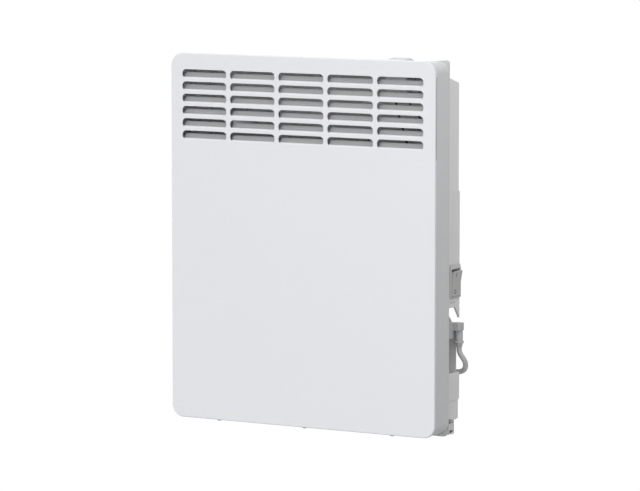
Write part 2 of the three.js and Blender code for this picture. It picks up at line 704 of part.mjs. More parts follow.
/** The routes of the wires inside. */
const WIRES = {
  wire_terminal_to_switch: [
    [142.8, 68, 211.5],
    [146, 67.5, 210.5],
    [147.2, 66, 204],
    [146.5, 64.2, 197],
    [146.5, 64, 192],
  ],
  wire_switch_to_thermostat: [
    [142.2, 64, 181],
    [139, 63.5, 181.5],
    [137, 57, 190],
    [142, 52, 205],
    [152, 46, 250],
    [152, 44, 340],
    [142, 34, 385],
    [134.5, 28, 396],
    [134.5, 27.4, 401.4],
  ],
  wire_thermostat_to_cutout: [
    [116.5, 27.4, 401.4],
    [116.5, 28, 394],
    [126, 44, 330],
    [128, 46, 240],
    [118, 47, 209],
    [102, 50, 194],
    [80, 54, 190],
    [74, 55.6, 187],
    [74, 56, 182.3],
  ],
  wire_cutout_to_element: [
    [66, 56, 182.3],
    [66, 55.6, 187],
    [56, 52, 191],
    [0, 48, 186],
    [-100, 44, 176],
    [-150, 40, 150],
    [-158, 40, 112],
    [-153, 40, 105],
    [-148.8, 40, 105],
  ],
  wire_element_to_terminal: [
    [138.8, 40, 105],
    [143, 40, 105],
    [144, 41, 112],
    [142, 42, 140],
    [124, 50, 185],
    [116, 62, 212],
    [118.5, 67.5, 222],
    [123.4, 68, 222.5],
  ],
  earth_wire: [
    [123.4, 68, 233.5],
    [118, 67, 234.5],
    [113, 67, 244],
    [112, 70, 258],
    [112, 73.6, 270],
  ],
};

// ---- Mains lead ------------------------------------------------------------------------------------

/** The sheet pocket behind the notch, open to the right and to the back. */
function cordPocket() {
  const { x0, sheet } = { x0: 148, sheet: 1.2 };
  const edge = HOUSING.half - HOUSING.sheet - GAP;
  const back = HOUSING.back - HOUSING.sheet - GAP;
  const y0 = NOTCH.front - 2;
  const outer = block([x0, y0, NOTCH.bottom - 2], [edge, back, NOTCH.top + 2]);
  const inner = block(
    [x0 + sheet, y0 + sheet, NOTCH.bottom - 2 + sheet],
    [edge + 1, back + 1, NOTCH.top + 2 - sheet],
  );
  return outer.subtract(inner);
}

/** The grip that clamps the lead: a block across the pocket with a hood that overhangs the lead. */
function cordGrip() {
  const inner = 149.5;
  const sideFace = 172.5;
  const core = across(
    polygon([
      [49.5, 112.3],
      [76.4, 112.3],
      [76.4, 131.5],
      [64, 131.5],
      [58, 135.5],
      [49.5, 135.5],
    ]),
    inner,
    sideFace,
  );
  const hoodPlan = roundedRect(new THREE.Shape(), [sideFace - 2, 66], [182, 79.6], 2);
  const apron = block([inner, 49.5, 97.5], [sideFace - 3.5, 64, 112.3 + OVERLAP]);
  return joined(core, upward(hoodPlan, 122, 131.5, 3), apron);
}

/** The strain relief: a round body, a collar and a ribbed taper that the lead comes straight down from. */
function strainRelief() {
  const z = LEAD.exitZ + GAP;
  return turned([
    [0, z],
    [3.6, z],
    [4, z + 1.4],
    [3.7, z + 2],
    [4.2, z + 4.2],
    [5.6, z + 4.8],
    [5.6, z + 7.6],
    [4.5, z + 8.2],
    [4.5, 121.7],
    [0, 121.7],
  ], 20).translate([LEAD.exitX, LEAD.exitY, 0]);
}

/** The coil's centre line: in from its bottom in one layer, across, and out again in the next. */
class CoilCurve extends THREE.Curve {
  getPoint(t, target = new THREE.Vector3()) {
    const half = COIL.turns + COIL_CLIMB / 2;
    const turn = t * 2 * half;
    const climb = Math.min(Math.max((turn - COIL.turns) / COIL_CLIMB, 0), 1);
    const radius = COIL.outer - COIL.pitch * (half - Math.abs(turn - half));
    const angle = -Math.PI / 2 - turn * 2 * Math.PI;
    const layer = COIL.pitch * (1 - Math.cos(climb * Math.PI)) * 0.5;
    return target.set(
      COIL.x + radius * Math.cos(angle),
      COIL.front + layer,
      COIL.z + radius * Math.sin(angle),
    );
  }
}

/** The least gap between the coil's own turns, measured on points along its centre line. */
function coilGap() {
  const turns = 2 * COIL.turns + COIL_CLIMB;
  const points = new CoilCurve().getPoints(Math.round(turns * 60));
  const apart = 30;
  let least = Infinity;
  points.forEach((p, i) => {
    for (let j = i + apart; j < points.length; j++) {
      least = Math.min(least, p.distanceTo(points[j]));
    }
  });
  return least - LEAD.diameter;
}

/** The lead from the strain relief: a curl outside the housing, then in behind it to the coil. */
const LEAD_ROUTE = [
  [LEAD.exitX, LEAD.exitY, LEAD.exitZ],
  [177.73, 74.65, 97.61],
  [179.08, 74.62, 93.86],
  [181.09, 75.16, 90.45],
  [182.91, 76.38, 87.11],
  [183.85, 78.05, 83.62],
  [183.57, 79.86, 80.08],
  [182.24, 81.69, 76.79],
  [180.04, 83.42, 73.95],
  [176.98, 84.66, 71.73],
  [173.27, 85.18, 70.38],
  [169.3, 85.18, 69.91],
  [165.3, 85.01, 69.9],
  [159.31, 84.9, 69.9],
  [151.31, 84.9, 69.9],
  [138.33, 84.9, 69.9],
  [COIL.x + 1.5 * GAP, 84.9, 69.9],
];

/** The lead's last stretch, straight down from the coil's outer turn. */
function tailRoute() {
  const x = COIL.x + COIL.outer;
  const y = COIL.front + COIL.pitch;
  return [
    [x, y, COIL.z - GAP],
    [x, y, COIL.z - 5],
    [x, y, COIL.z - 10],
    [x, y, COIL.z - 14],
  ];
}

/** The stripped end: three insulated cores with crimped ferrules, side by side below the sheath. */
function leadCores() {
  const [x, y, z] = tailRoute().at(-1);
  let cores = rod(2.4, x, y, z - 2.5, z - GAP, 8);
  const spread = 1.75;
  const length = 20;
  for (const turn of [0, 1, 2]) {
    const angle = (turn / 3) * 2 * Math.PI;
    const cx = x + spread * Math.cos(angle);
    const cy = y + spread * Math.sin(angle);
    cores = cores.add(rod(1.25, cx, cy, z - 2 - length, z - 2, 6));
    cores = cores.add(rod(0.9, cx, cy, z - 2 - length - 7, z - 2 - length + OVERLAP, 6));
  }
  return cores;
}

/** The tie round the coil's turns, at its top. */
function cordTie() {
  const inside = { y0: 81.2, y1: 95.4, z0: COIL.z + 26.2, z1: COIL.z + 43 };
  const band = 1;
  const strap = roundedRect(
    new THREE.Shape(),
    [inside.y0 - band, inside.z0 - band],
    [inside.y1 + band, inside.z1 + band],
    4,
  );
  strap.holes.push(roundedRect(new THREE.Path(), [inside.y0, inside.z0], [inside.y1, inside.z1], 3));
  const halfWidth = 3.5;
  return across(strap, COIL.x - halfWidth, COIL.x + halfWidth, 3);
}

// ---- Wall bracket, in the bracket's own frame: y is back towards the wall, which is at 0 -------------

/** One rail: a web on the wall, a shelf along its top and a lip, with two hooks that rise in front. */
function bracketRail(height) {
  const { half, sheet, lip } = RAIL;
  const front = -WALL_GAP + GAP;
  const section = polygon([
    [0, -height],
    [0, 0],
    [front, 0],
    [front, -lip],
    [front + sheet, -lip],
    [front + sheet, -sheet],
    [-sheet, -sheet],
    [-sheet, -height],
  ]);
  let rail = across(section, -half, half);
  const hookSide = polygon([
    [front + sheet, 0],
    [front + sheet, -HOOK.sheet],
    [-HOOK.reach, -HOOK.sheet],
    [-HOOK.reach, HOOK.rise],
    [-HOOK.reach + HOOK.sheet, HOOK.rise],
    [-HOOK.reach + HOOK.sheet, 0],
  ]);
  for (const x of [-HOOK.x, HOOK.x]) {
    rail = rail.add(across(hookSide, x - HOOK.width / 2, x + HOOK.width / 2));
  }
  for (const x of [-SCREW_SLOT.x, SCREW_SLOT.x]) {
    const middle = (-height - sheet) / 2;
    const slot = roundedRect(
      new THREE.Shape(),
      [x - SCREW_SLOT.width / 2, middle - SCREW_SLOT.length / 2],
      [x + SCREW_SLOT.width / 2, middle + SCREW_SLOT.length / 2],
      SCREW_SLOT.width / 2 - 0.01,
    );
    rail = rail.subtract(facing(slot, -sheet - 1, 1, 4));
  }
  return rail;
}

/** One upright of the bracket: a shallow channel between the two rails. */
function bracketUpright(x, low, high) {
  const { width, flange, sheet } = UPRIGHT;
  const plan = polygon([
    [-width / 2, 0],
    [-width / 2, -flange],
    [-width / 2 + sheet, -flange],
    [-width / 2 + sheet, -sheet],
    [width / 2 - sheet, -sheet],
    [width / 2 - sheet, -flange],
    [width / 2, -flange],
    [width / 2, 0],
  ]);
  return upward(plan, low, high).translate([x, 0, 0]);
}

// ---- The assembly ----------------------------------------------------------------------------------

const bracket = new THREE.Group();
const LOWER_RAIL_HEIGHT = 24;
const topRail = piece("bracket_top_rail", bracketRail(RAIL.height), GALVANISED);
topRail.position.z = RAIL.top - HANG_HEIGHT;
const lowerRail = piece("bracket_lower_rail", bracketRail(LOWER_RAIL_HEIGHT), GALVANISED);
lowerRail.position.z = RAIL.lowerTop - HANG_HEIGHT;
bracket.add(topRail, lowerRail);
for (const [name, x] of [["left", -UPRIGHT.x], ["right", UPRIGHT.x]]) {
  const low = lowerRail.position.z + GAP;
  const high = topRail.position.z - RAIL.height - GAP;
  bracket.add(piece(`bracket_upright_${name}`, bracketUpright(x, low, high), GALVANISED));
}

const heater = new THREE.Group();
heater.position.set(0, -WALL, -HANG_HEIGHT);
heater.add(
  piece("front_panel", frontPanel(), FRONT_ENAMEL),
  piece("casing_wrap", casingWrap(), CASING_ENAMEL),
  piece("back_plate", backPlate(), CASING_ENAMEL),
  piece("rear_housing", rearHousing(), CASING_ENAMEL),
  piece("bottom_skirt", bottomSkirt(), CASING_ENAMEL),
  piece("service_cover", serviceCover(), WHITE_PLASTIC),
  piece("heat_shield", heatShield(), GALVANISED),
  piece("thermostat_body", thermostatBody(), GREY_PLASTIC),
  piece("dial_bezel", dialBezel(), WHITE_PLASTIC),
  piece("thermostat_dial", thermostatDial(), WHITE_PLASTIC),
  piece("dial_shaft", dialShaft(), STEEL),
  piece("switch_housing", switchHousing(), WHITE_PLASTIC),
  piece("power_rocker", powerRocker(), GREY_PLASTIC),
  piece("heating_element", heatingElement(), ALUMINIUM),
  piece("thermal_cutout", thermalCutout(), DARK_PLASTIC),
  piece("cutout_strap", cutoutStrap(), GALVANISED),
  piece("sensor_capillary", sensorCapillary(), STEEL),
  piece("terminal_block", terminalBlock(), WHITE_PLASTIC),
  piece("cord_pocket", cordPocket(), CASING_ENAMEL),
  piece("cord_grip", cordGrip(), GREY_PLASTIC),
  piece("strain_relief", strainRelief(), LEAD_SHEATH),
  piece("mains_lead_run", tube(smooth(LEAD_ROUTE), LEAD.diameter, 34, 8), LEAD_SHEATH),
  piece("mains_lead_tail", tube(smooth(tailRoute()), LEAD.diameter, 3, 8), LEAD_SHEATH),
  piece("lead_cores", leadCores(), WIRE_SHEATH),
  piece("cord_tie", cordTie(), DARK_PLASTIC),
);
const coilSteps = Math.round((2 * COIL.turns + COIL_CLIMB) * COIL.steps);
const coilTube = tube(new CoilCurve(), LEAD.diameter, coilSteps, COIL.sides);
heater.add(piece("mains_lead_coil", coilTube, LEAD_SHEATH));
console.log(`least gap between the coil's turns: ${coilGap().toFixed(2)} mm`);

for (const [name, side] of [["left", -1], ["right", 1]]) {
  heater.add(
    piece(`element_bracket_${name}`, elementBracket(side), GALVANISED),
    piece(`ceramic_insulator_${name}`, ceramicInsulator(side), CERAMIC),
    piece(`terminal_pin_${name}`, terminalPin(side), STEEL),
  );
}
for (const [name, route] of Object.entries(WIRES)) {
  const sheath = name.startsWith("earth") ? EARTH_SHEATH : WIRE_SHEATH;
  heater.add(piece(name, tube(smooth(route), 2.4, 3 * route.length, 5), sheath));
}
SCREW_X.forEach((x, index) => {
  const screw = panHeadScrew(3.2, 1.1, 0).translate([x, SCREW_Y, CASING.inset - GAP]);
  heater.add(piece(`casing_screw_${index + 1}`, screw, STEEL));
});
plateScrewPlaces().forEach(([x, z], index) => {
  heater.add(piece(`back_plate_screw_${index + 1}`, plateScrew(x, z), STEEL));
});

const convector = new THREE.Group();
convector.add(bracket, heater);
export default convector;
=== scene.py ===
# %% [markdown]
# # A wall panel convector, dressed for its picture
#
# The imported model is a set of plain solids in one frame: metres, the wall at y = 0, the front facing -y.
# This script gives them what a camera sees: rolled edges, lanced louvres, paint, zinc and plastic.
# Every step starts with what the piece is on the real heater and how it could be made.

# %% Load the frame
import json
import math

import bmesh
import bpy
from mathutils import Matrix, Vector
from mathutils.geometry import delaunay_2d_cdt


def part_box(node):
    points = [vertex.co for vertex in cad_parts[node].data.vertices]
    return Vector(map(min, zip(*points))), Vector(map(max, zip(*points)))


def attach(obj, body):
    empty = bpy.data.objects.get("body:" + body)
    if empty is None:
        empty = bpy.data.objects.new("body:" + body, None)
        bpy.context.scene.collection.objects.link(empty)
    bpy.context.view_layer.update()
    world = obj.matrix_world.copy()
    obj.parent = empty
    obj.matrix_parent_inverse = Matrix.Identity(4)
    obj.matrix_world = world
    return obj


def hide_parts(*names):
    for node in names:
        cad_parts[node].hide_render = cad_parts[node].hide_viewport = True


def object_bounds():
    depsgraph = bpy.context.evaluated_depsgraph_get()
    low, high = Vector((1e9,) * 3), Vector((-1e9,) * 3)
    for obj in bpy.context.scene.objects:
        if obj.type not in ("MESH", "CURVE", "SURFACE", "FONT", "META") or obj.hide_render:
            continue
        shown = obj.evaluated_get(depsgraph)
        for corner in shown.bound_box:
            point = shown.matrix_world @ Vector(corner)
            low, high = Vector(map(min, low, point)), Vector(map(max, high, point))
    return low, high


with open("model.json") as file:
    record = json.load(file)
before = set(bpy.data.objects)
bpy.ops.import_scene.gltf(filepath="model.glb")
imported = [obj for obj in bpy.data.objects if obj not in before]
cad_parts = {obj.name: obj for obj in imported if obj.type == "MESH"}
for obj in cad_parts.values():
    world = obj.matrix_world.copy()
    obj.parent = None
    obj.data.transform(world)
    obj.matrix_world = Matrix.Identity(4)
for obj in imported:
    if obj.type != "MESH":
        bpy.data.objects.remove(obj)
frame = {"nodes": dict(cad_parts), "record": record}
NODES = frame["nodes"]
CAD_BOX = [list(corner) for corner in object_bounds()]
MM = 0.001
print("solids loaded:", len(NODES))

# %% [markdown]
# ## The heater's own measures
#
# The heater's pieces are easiest to think of in millimetres from the front panel: across from its centre
# line, back from its face, and up from its lower edge. `at` turns such a point into the frame's metres.

# %% Places in the heater's own measures
WALL_DEPTH = 98
HANG_HEIGHT = 355


def at(across, back, up):
    return Vector((across, back - WALL_DEPTH, up - HANG_HEIGHT)) * MM


# %% [markdown]
# ## The camera
#
# A long lens a few metres off keeps the sheet's edges nearly parallel, as product photographs do. It stands
# to the right of the heater and a little above it, and looks at the middle of the picture's frame.

# %% Camera
AZIMUTH, ELEVATION, DISTANCE = math.radians(30.5), math.radians(6.18), 4.771
AIM = Vector((0.027, -0.098, -0.1315))


def direction(azimuth, elevation):
    """From the heater towards a place at that azimuth and elevation."""
    flat = math.cos(elevation)
    return Vector((math.sin(azimuth) * flat, -math.cos(azimuth) * flat, math.sin(elevation)))


lens = bpy.data.cameras.new("camera")
lens.lens, lens.sensor_width = 222.9, 36
camera = bpy.data.objects.new("camera", lens)
camera.location = AIM + DISTANCE * direction(AZIMUTH, ELEVATION)
camera.rotation_euler = (AIM - camera.location).to_track_quat("-Z", "Y").to_euler()
bpy.context.scene.collection.objects.link(camera)
bpy.context.scene.camera = camera
print("camera at", [round(v, 3) for v in camera.location])

# %% [markdown]
# ## Node trees written as Python
#
# A finish is arithmetic on a few noises. Written node by node that arithmetic disappears, so `Wire` wraps a
# socket and lets Python's own operators add the Math nodes, and `Graph.node` adds any other node in one line.

# %% Wires and graphs
class Wire:
    """A socket of a node tree. An expression on wires adds the Math nodes that work it out."""

    def __init__(self, graph, socket):
        self.graph, self.socket = graph, socket

    def twin(self, output):
        """Another output of the same node, by its name or number."""
        return Wire(self.graph, self.socket.node.outputs[output])

    def maths(self, operation, *values):
        return self.graph.node("ShaderNodeMath", {"operation": operation}, dict(enumerate(values)))

    def __add__(self, other):
        return self.maths("ADD", self, other)

    def __sub__(self, other):
        return self.maths("SUBTRACT", self, other)

    def __mul__(self, other):
        return self.maths("MULTIPLY", self, other)

    def __truediv__(self, other):
        return self.maths("DIVIDE", self, other)

    def __rsub__(self, other):
        return self.maths("SUBTRACT", other, self)

    def __pow__(self, other):
        return self.maths("POWER", self, other)

    __radd__, __rmul__ = __add__, __mul__

    def clipped(self):
        return self.maths("MAXIMUM", self.maths("MINIMUM", self, 1.0), 0.0)


class Graph:
    """A node tree that is filled from Python."""

    def __init__(self, tree):
        self.tree = tree

    def node(self, kind, settings=None, inputs=None, out=0):
        """Adds a node: its settings first, then what its sockets get, and returns one of its outputs."""
        made = self.tree.nodes.new(kind)
        for name, value in (settings or {}).items():
            setattr(made, name, value)
        for name, value in (inputs or {}).items():
            if isinstance(value, Wire):
                self.tree.links.new(value.socket, made.inputs[name])
            else:
                made.inputs[name].default_value = value
        return Wire(self, made.outputs[out] if made.outputs else None)


# %% [markdown]
# ## A finish
#
# `Finish` is a material with one Principled shader. Numbers that are the same all over go straight on its
# sockets. What varies comes from noises on Object coordinates, which are metres of the heater itself.

# %% Finishes
class Finish(Graph):
    def __init__(self, name, **sockets):
        self.material = bpy.data.materials.new(name)
        self.material.use_nodes = True
        super().__init__(self.material.node_tree)
        self.shader = self.tree.nodes["Principled BSDF"]
        self.place = self.node("ShaderNodeTexCoord", out="Object")
        for socket, value in sockets.items():
            self.shader.inputs[socket.replace("_", " ")].default_value = value

    def noise(self, scale, detail=2.0, place=None):
        inputs = {"Vector": place or self.place, "Scale": scale, "Detail": detail}
        return self.node("ShaderNodeTexNoise", None, inputs)

    def stretched(self, x, y, z):
        """The coordinates scaled along each axis, for a grain that has a direction."""
        settings = {"operation": "MULTIPLY"}
        return self.node("ShaderNodeVectorMath", settings, {0: self.place, 1: (x, y, z)})

    def blend(self, factor, first, second):
        first, second = (end if isinstance(end, Wire) else (*end, 1) for end in (first, second))
        return self.node("ShaderNodeMix", {"data_type": "RGBA"}, {0: factor, 6: first, 7: second}, out=2)

    def axis(self, number):
        """One of the Object coordinates, in metres."""
        return self.node("ShaderNodeSeparateXYZ", None, {0: self.place}, out=number)

    def feed(self, socket, wire):
        self.tree.links.new(wire.socket, self.shader.inputs[socket])

    def bump(self, height, depth, strength=1.0):
        """Bump of that height field, where depth is its full relief in metres."""
        inputs = {"Height": height, "Distance": depth, "Strength": strength}
        self.feed("Normal", self.node("ShaderNodeBump", None, inputs))


# %% [markdown]
# ## Enamelled sheet
#
# Stoved paint on steel is never flat. It has orange peel about a millimetre across, its gloss drifts a
# little over a hand's breadth, and it has the odd speck under the coat. All three are slight. The louvres'
# flaps are painted greyer the further back they lie behind the front: painted shade for the sheet's shadow.

# %% Enamel
# Painted shade on the louvres' flaps: full at this depth behind the front's face, within the block's height.
SHEET_FACE, PAINTED_SHADE_DEPTH = -0.0972, 0.0024
BLOCK_LOW, BLOCK_HIGH, BLOCK_EDGE = -0.022, 0.0765, 0.0005


def painted_shade_behind_front(paint, shade, painted_shade):
    """That shade, with painted shade in its place behind the front's sheet, within the block of louvres."""
    depth = ((paint.axis(1) - SHEET_FACE) / PAINTED_SHADE_DEPTH).clipped()
    up = paint.axis(2)
    block = ((up - BLOCK_LOW) / BLOCK_EDGE).clipped() * ((BLOCK_HIGH - up) / BLOCK_EDGE).clipped()
    return paint.blend(depth * block, shade, painted_shade)


def enamel(name, shade, dusty, roughness, painted_shade=None):
    """Stoved paint between two shades, with painted shade behind the louvres where it is given."""
    paint = Finish(name, IOR=1.5, Specular_IOR_Level=0.35)
    drift = paint.noise(9.0, 3.0)
    specks = (paint.noise(1400.0, 0.0) - 0.74).clipped() * 3.0
    coat = paint.blend(drift * 0.45 + specks, shade, dusty)
    paint.feed("Base Color", painted_shade_behind_front(paint, coat, painted_shade) if painted_shade else coat)
    paint.feed("Roughness", paint.noise(38.0, 3.0) * 0.12 + (roughness - 0.06))
    peel = paint.noise(720.0, 1.0) + paint.noise(210.0, 0.0) * 0.8
    paint.bump(peel, 0.00002)
    return paint.material


# The front's enamel, with painted shade in this grey on the flaps behind its sheet.
FRONT_ENAMEL = enamel(
    "front enamel", (0.81, 0.82, 0.845), (0.785, 0.795, 0.815), 0.4, painted_shade=(0.41, 0.41, 0.425)
)
CASING_ENAMEL = enamel("casing enamel", (0.735, 0.742, 0.752), (0.7, 0.705, 0.71), 0.46)
# Painted light: the housing's enamel is lighter than the casing's for the brighter light on the housing's
# side.
HOUSING_LIT_ENAMEL = enamel("housing enamel", (0.89, 0.885, 0.895), (0.85, 0.845, 0.85), 0.48)
PLATE_ENAMEL = enamel("back plate enamel", (0.58, 0.585, 0.59), (0.54, 0.545, 0.55), 0.5)
# Painted shade: the pocket behind the lead's notch is a darker grey for the shade in its recess.
POCKET_SHADE_ENAMEL = enamel("pocket enamel", (0.6, 0.595, 0.6), (0.55, 0.545, 0.55), 0.5)
print("enamels:", len(bpy.data.materials))

# %% [markdown]
# ## Metals
#
# Hot-dipped zinc freezes into spangles, flat crystals a centimetre across that each catch the light in
# their own way: a Voronoi pattern gives every cell one random value, and that value drives the shade and
# the gloss. Cast aluminium is grainy, and turned or drawn steel is streaked along its length.

# %% Metals
def zinc():
    coat = Finish("galvanised sheet", Metallic=1.0)
    wobble = coat.noise(60.0, 2.0) * 0.006
    settings = {"operation": "ADD"}
    place = coat.node("ShaderNodeVectorMath", settings, {0: coat.place, 1: wobble})
    inputs = {"Vector": place, "Scale": 120.0}
    cell = coat.node("ShaderNodeTexVoronoi", {"feature": "F1"}, inputs, out="Color")
    value = coat.node("ShaderNodeSeparateColor", None, {0: cell}, out=0)
    needles = coat.noise(1.0, 3.0, coat.stretched(900.0, 900.0, 260.0))
    shade = (value * 0.75 + needles * 0.3).clipped()
    coat.feed("Base Color", coat.blend(shade, (0.5, 0.515, 0.53), (0.64, 0.655, 0.67)))
    coat.feed("Roughness", value * 0.1 + needles * 0.1 + 0.36)
    coat.bump(needles + value, 0.000015)
    return coat.material


def cast_aluminium():
    cast = Finish("cast aluminium", Metallic=1.0)
    grain = cast.noise(1100.0, 3.0)
    cast.feed("Base Color", cast.blend(cast.noise(70.0, 3.0), (0.5, 0.51, 0.52), (0.7, 0.71, 0.72)))
    cast.feed("Roughness", grain * 0.3 + 0.34)
    cast.bump(grain, 0.00008)
    return cast.material


def drawn_steel():
    steel = Finish("bright steel", Metallic=1.0)
    streaks = steel.noise(1.0, 3.0, steel.stretched(300.0, 2400.0, 2400.0))
    steel.feed("Base Color", steel.blend(streaks, (0.42, 0.43, 0.44), (0.66, 0.67, 0.68)))
    steel.feed("Roughness", streaks * 0.22 + 0.2)
    steel.bump(streaks, 0.00001)
    return steel.material


ZINC, ALUMINIUM, STEEL = zinc(), cast_aluminium(), drawn_steel()
print("metals:", ZINC.name, ALUMINIUM.name, STEEL.name)


# %% [markdown]
# ## Plastics, sheaths and ceramic
#
# Mouldings carry the fine spark-eroded grain of their tool. A lead's sheath is softer and duller, with the
# faint lay of the cores showing through it. Steatite is off-white with pale specks under a thin glaze.

# %% Plastics, sheaths and ceramic
def moulded(name, shade, worn, roughness, grain_depth=0.000025):
    plastic = Finish(name, IOR=1.46, Specular_IOR_Level=0.4)
    grain = plastic.noise(2300.0, 2.0)
    plastic.feed("Base Color", plastic.blend(plastic.noise(24.0, 3.0), shade, worn))
    plastic.feed("Roughness", grain * 0.16 + plastic.noise(60.0, 2.0) * 0.08 + (roughness - 0.12))
    plastic.bump(grain, grain_depth)
    return plastic.material


CORES, LAY = 3, 0.045


def wound(skin):
    """The UV map of a swept tube: the share of the way round it, whose twin 1 is metres along it."""
    uv = skin.node("ShaderNodeUVMap", {"uv_map": "along"})
    return skin.node("ShaderNodeSeparateXYZ", None, {0: uv})


def sheath(name, shade, worn, roughness=0.5):
    """The sheath of a lead or a wire. Its UV map runs along it in metres, so the lay follows its bends."""
    skin = Finish(name, IOR=1.48)
    around = wound(skin)
    lay = (around * 2.0 * math.pi * CORES + around.twin(1) * 2.0 * math.pi / LAY * CORES).maths("SINE")
    fine = skin.noise(1500.0, 2.0)
    skin.feed("Base Color", skin.blend(skin.noise(45.0, 3.0), shade, worn))
    skin.feed("Roughness", fine * 0.18 + (roughness - 0.09))
    skin.bump(lay * 0.5 + fine * 0.6, 0.00005)
    return skin.material


def glazed_ceramic():
    body = Finish("glazed ceramic", IOR=1.54, Coat_Roughness=0.12)
    specks = (body.noise(900.0, 1.0) - 0.6).clipped() * 2.4
    body.feed("Base Color", body.blend(specks, (0.78, 0.74, 0.65), (0.6, 0.54, 0.45)))
    body.feed("Roughness", body.noise(300.0, 2.0) * 0.2 + 0.3)
    body.bump(body.noise(500.0, 2.0), 0.00003)
    return body.material


WHITE_PLASTIC = moulded("white plastic", (0.87, 0.865, 0.87), (0.84, 0.835, 0.835), 0.45)
GREY_PLASTIC = moulded("grey plastic", (0.56, 0.565, 0.575), (0.52, 0.525, 0.53), 0.5)
DIAL_PLASTIC = moulded("dial plastic", (0.7, 0.7, 0.71), (0.67, 0.67, 0.67), 0.5)
SWITCH_PLASTIC = moulded("switch plastic", (0.66, 0.66, 0.665), (0.63, 0.63, 0.63), 0.45)
ROCKER_PLASTIC = moulded("rocker plastic", (0.57, 0.57, 0.565), (0.54, 0.54, 0.53), 0.36, 0.00001)
DARK_PLASTIC = moulded("dark plastic", (0.06, 0.062, 0.066), (0.09, 0.09, 0.094), 0.5)
MARK_INK = moulded("mark ink", (0.1, 0.1, 0.105), (0.13, 0.13, 0.13), 0.55, 0.000008)
LEAD_SHEATH = sheath("lead sheath", (0.58, 0.585, 0.595), (0.53, 0.535, 0.54))
WIRE_SHEATH = sheath("wire sheath", (0.1, 0.055, 0.035), (0.08, 0.045, 0.03), 0.4)
LIVE_SHEATH = sheath("live sheath", (0.2, 0.075, 0.03), (0.17, 0.06, 0.025), 0.4)
NEUTRAL_SHEATH = sheath("neutral sheath", (0.02, 0.14, 0.45), (0.02, 0.11, 0.37), 0.4)
CERAMIC = glazed_ceramic()
print("finishes so far:", len(bpy.data.materials))

# %% [markdown]
# ## Making and finishing a piece
#
# Each mesh below comes from lists of points and faces in metres. `piece` links it, gives it its finish and
# hangs it on the body that it moves with. `baked` turns live modifiers into a plain mesh.

# %% Pieces
def mesh_object(name, points, faces):
    mesh = bpy.data.meshes.new(name)
    mesh.from_pydata([tuple(p) for p in points], [], faces)
    made = bpy.data.objects.new(name, mesh)
    bpy.context.scene.collection.objects.link(made)
    return made


def baked(made):
    """The object with its modifiers worked into its mesh."""
    graph = bpy.context.evaluated_depsgraph_get()
    mesh = bpy.data.meshes.new_from_object(made.evaluated_get(graph))
    made.modifiers.clear()
    made.data = mesh
    return made


def smoothed(made, sharp=30.0, weighted=True):
    """Smooth shading with edges kept over that angle, and large faces left flat."""
    made.data.shade_smooth()
    made.data.set_sharp_from_angle(angle=math.radians(sharp))
    if weighted:
        weigh = made.modifiers.new("flat faces", "WEIGHTED_NORMAL")
        weigh.keep_sharp, weigh.weight = True, 100
        baked(made)
    return made


def cleaned(made):
    """Doubles merged and faces turned outwards."""
    work = bmesh.new()
    work.from_mesh(made.data)
    bmesh.ops.remove_doubles(work, verts=work.verts, dist=2e-6)
    bmesh.ops.recalc_face_normals(work, faces=work.faces)
    work.to_mesh(made.data)
    work.free()
    return made


def piece(made, material, body, slot, *nodes):
    """The object with its finish, on its body and in place of those nodes of the frame."""
    made.data.materials.clear()
    made.data.materials.append(material)
    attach(made, body)
    if nodes:
        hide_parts(*nodes)
    return made


# %% [markdown]
# ## The mains lead
#
# A round lead of 6.3 mm comes down out of its strain relief, curls once outside the housing and goes in
# behind it, where its spare length is wound into a tidy coil with a tie. It could be a curve with a bevel,
# but a tube swept here keeps a UV map along the sheath. The coil winds inwards, crosses over in half a turn
# and winds out again in the next layer, so that both ends are on its outside.

# %% The lead's line
LEAD_DIAMETER = 6.3
LEAD_EXIT = (177.4, 74.8, 101.6)
LEAD_ROUTE = [
    LEAD_EXIT, (177.73, 74.65, 97.61), (179.08, 74.62, 93.86), (181.09, 75.16, 90.45),
    (182.91, 76.38, 87.11), (183.85, 78.05, 83.62), (183.57, 79.86, 80.08), (182.24, 81.69, 76.79),
    (180.04, 83.42, 73.95), (176.98, 84.66, 71.73), (173.27, 85.18, 70.38), (169.3, 85.18, 69.91),
    (165.3, 85.01, 69.9), (159.31, 84.9, 69.9), (151.31, 84.9, 69.9), (138.33, 84.9, 69.9),
    (119.45, 84.9, 69.9),
]
COIL = {"across": 119, "up": 110.5, "outer": 40.6, "pitch": 6.8, "turns": 1.625, "back": 84.9}
COIL_CLIMB, COIL_STEPS = 0.5, 56
TAIL_DROPS = (2, 5, 8, 11, 14)


def through(points, steps):
    """A centripetal Catmull-Rom line through the points, with that many steps in each span."""
    points = [Vector(p) for p in points]
    ends = [2 * points[0] - points[1], *points, 2 * points[-1] - points[-2]]
    line = [points[0]]
    for a, b, c, d in zip(ends, ends[1:], ends[2:], ends[3:]):
        t = [0.0]
        for p, q in ((a, b), (b, c), (c, d)):
            t.append(t[-1] + math.sqrt((q - p).length))
        for step in range(1, steps + 1):
            u = t[1] + (t[2] - t[1]) * step / steps
            ab, bc, cd = (
                p.lerp(q, (u - t[i]) / (t[i + 1] - t[i])) for i, (p, q) in enumerate(((a, b), (b, c), (c, d)))
            )
            abc = ab.lerp(bc, (u - t[0]) / (t[2] - t[0]))
            bcd = bc.lerp(cd, (u - t[1]) / (t[3] - t[1]))
            line.append(abc.lerp(bcd, (u - t[1]) / (t[2] - t[1])))
    return line


def coil_point(turn):
    """The coil's line after so many turns: inwards, across to the next layer, and outwards again."""
    half = COIL["turns"] + COIL_CLIMB / 2
    climb = min(max((turn - COIL["turns"]) / COIL_CLIMB, 0), 1)
    radius = COIL["outer"] - COIL["pitch"] * (half - abs(turn - half))
    angle = -math.pi / 2 - turn * 2 * math.pi
    layer = COIL["pitch"] * (1 - math.cos(climb * math.pi)) / 2
    return Vector((
        COIL["across"] + radius * math.cos(angle), COIL["back"] + layer, COIL["up"] + radius * math.sin(angle)
    ))


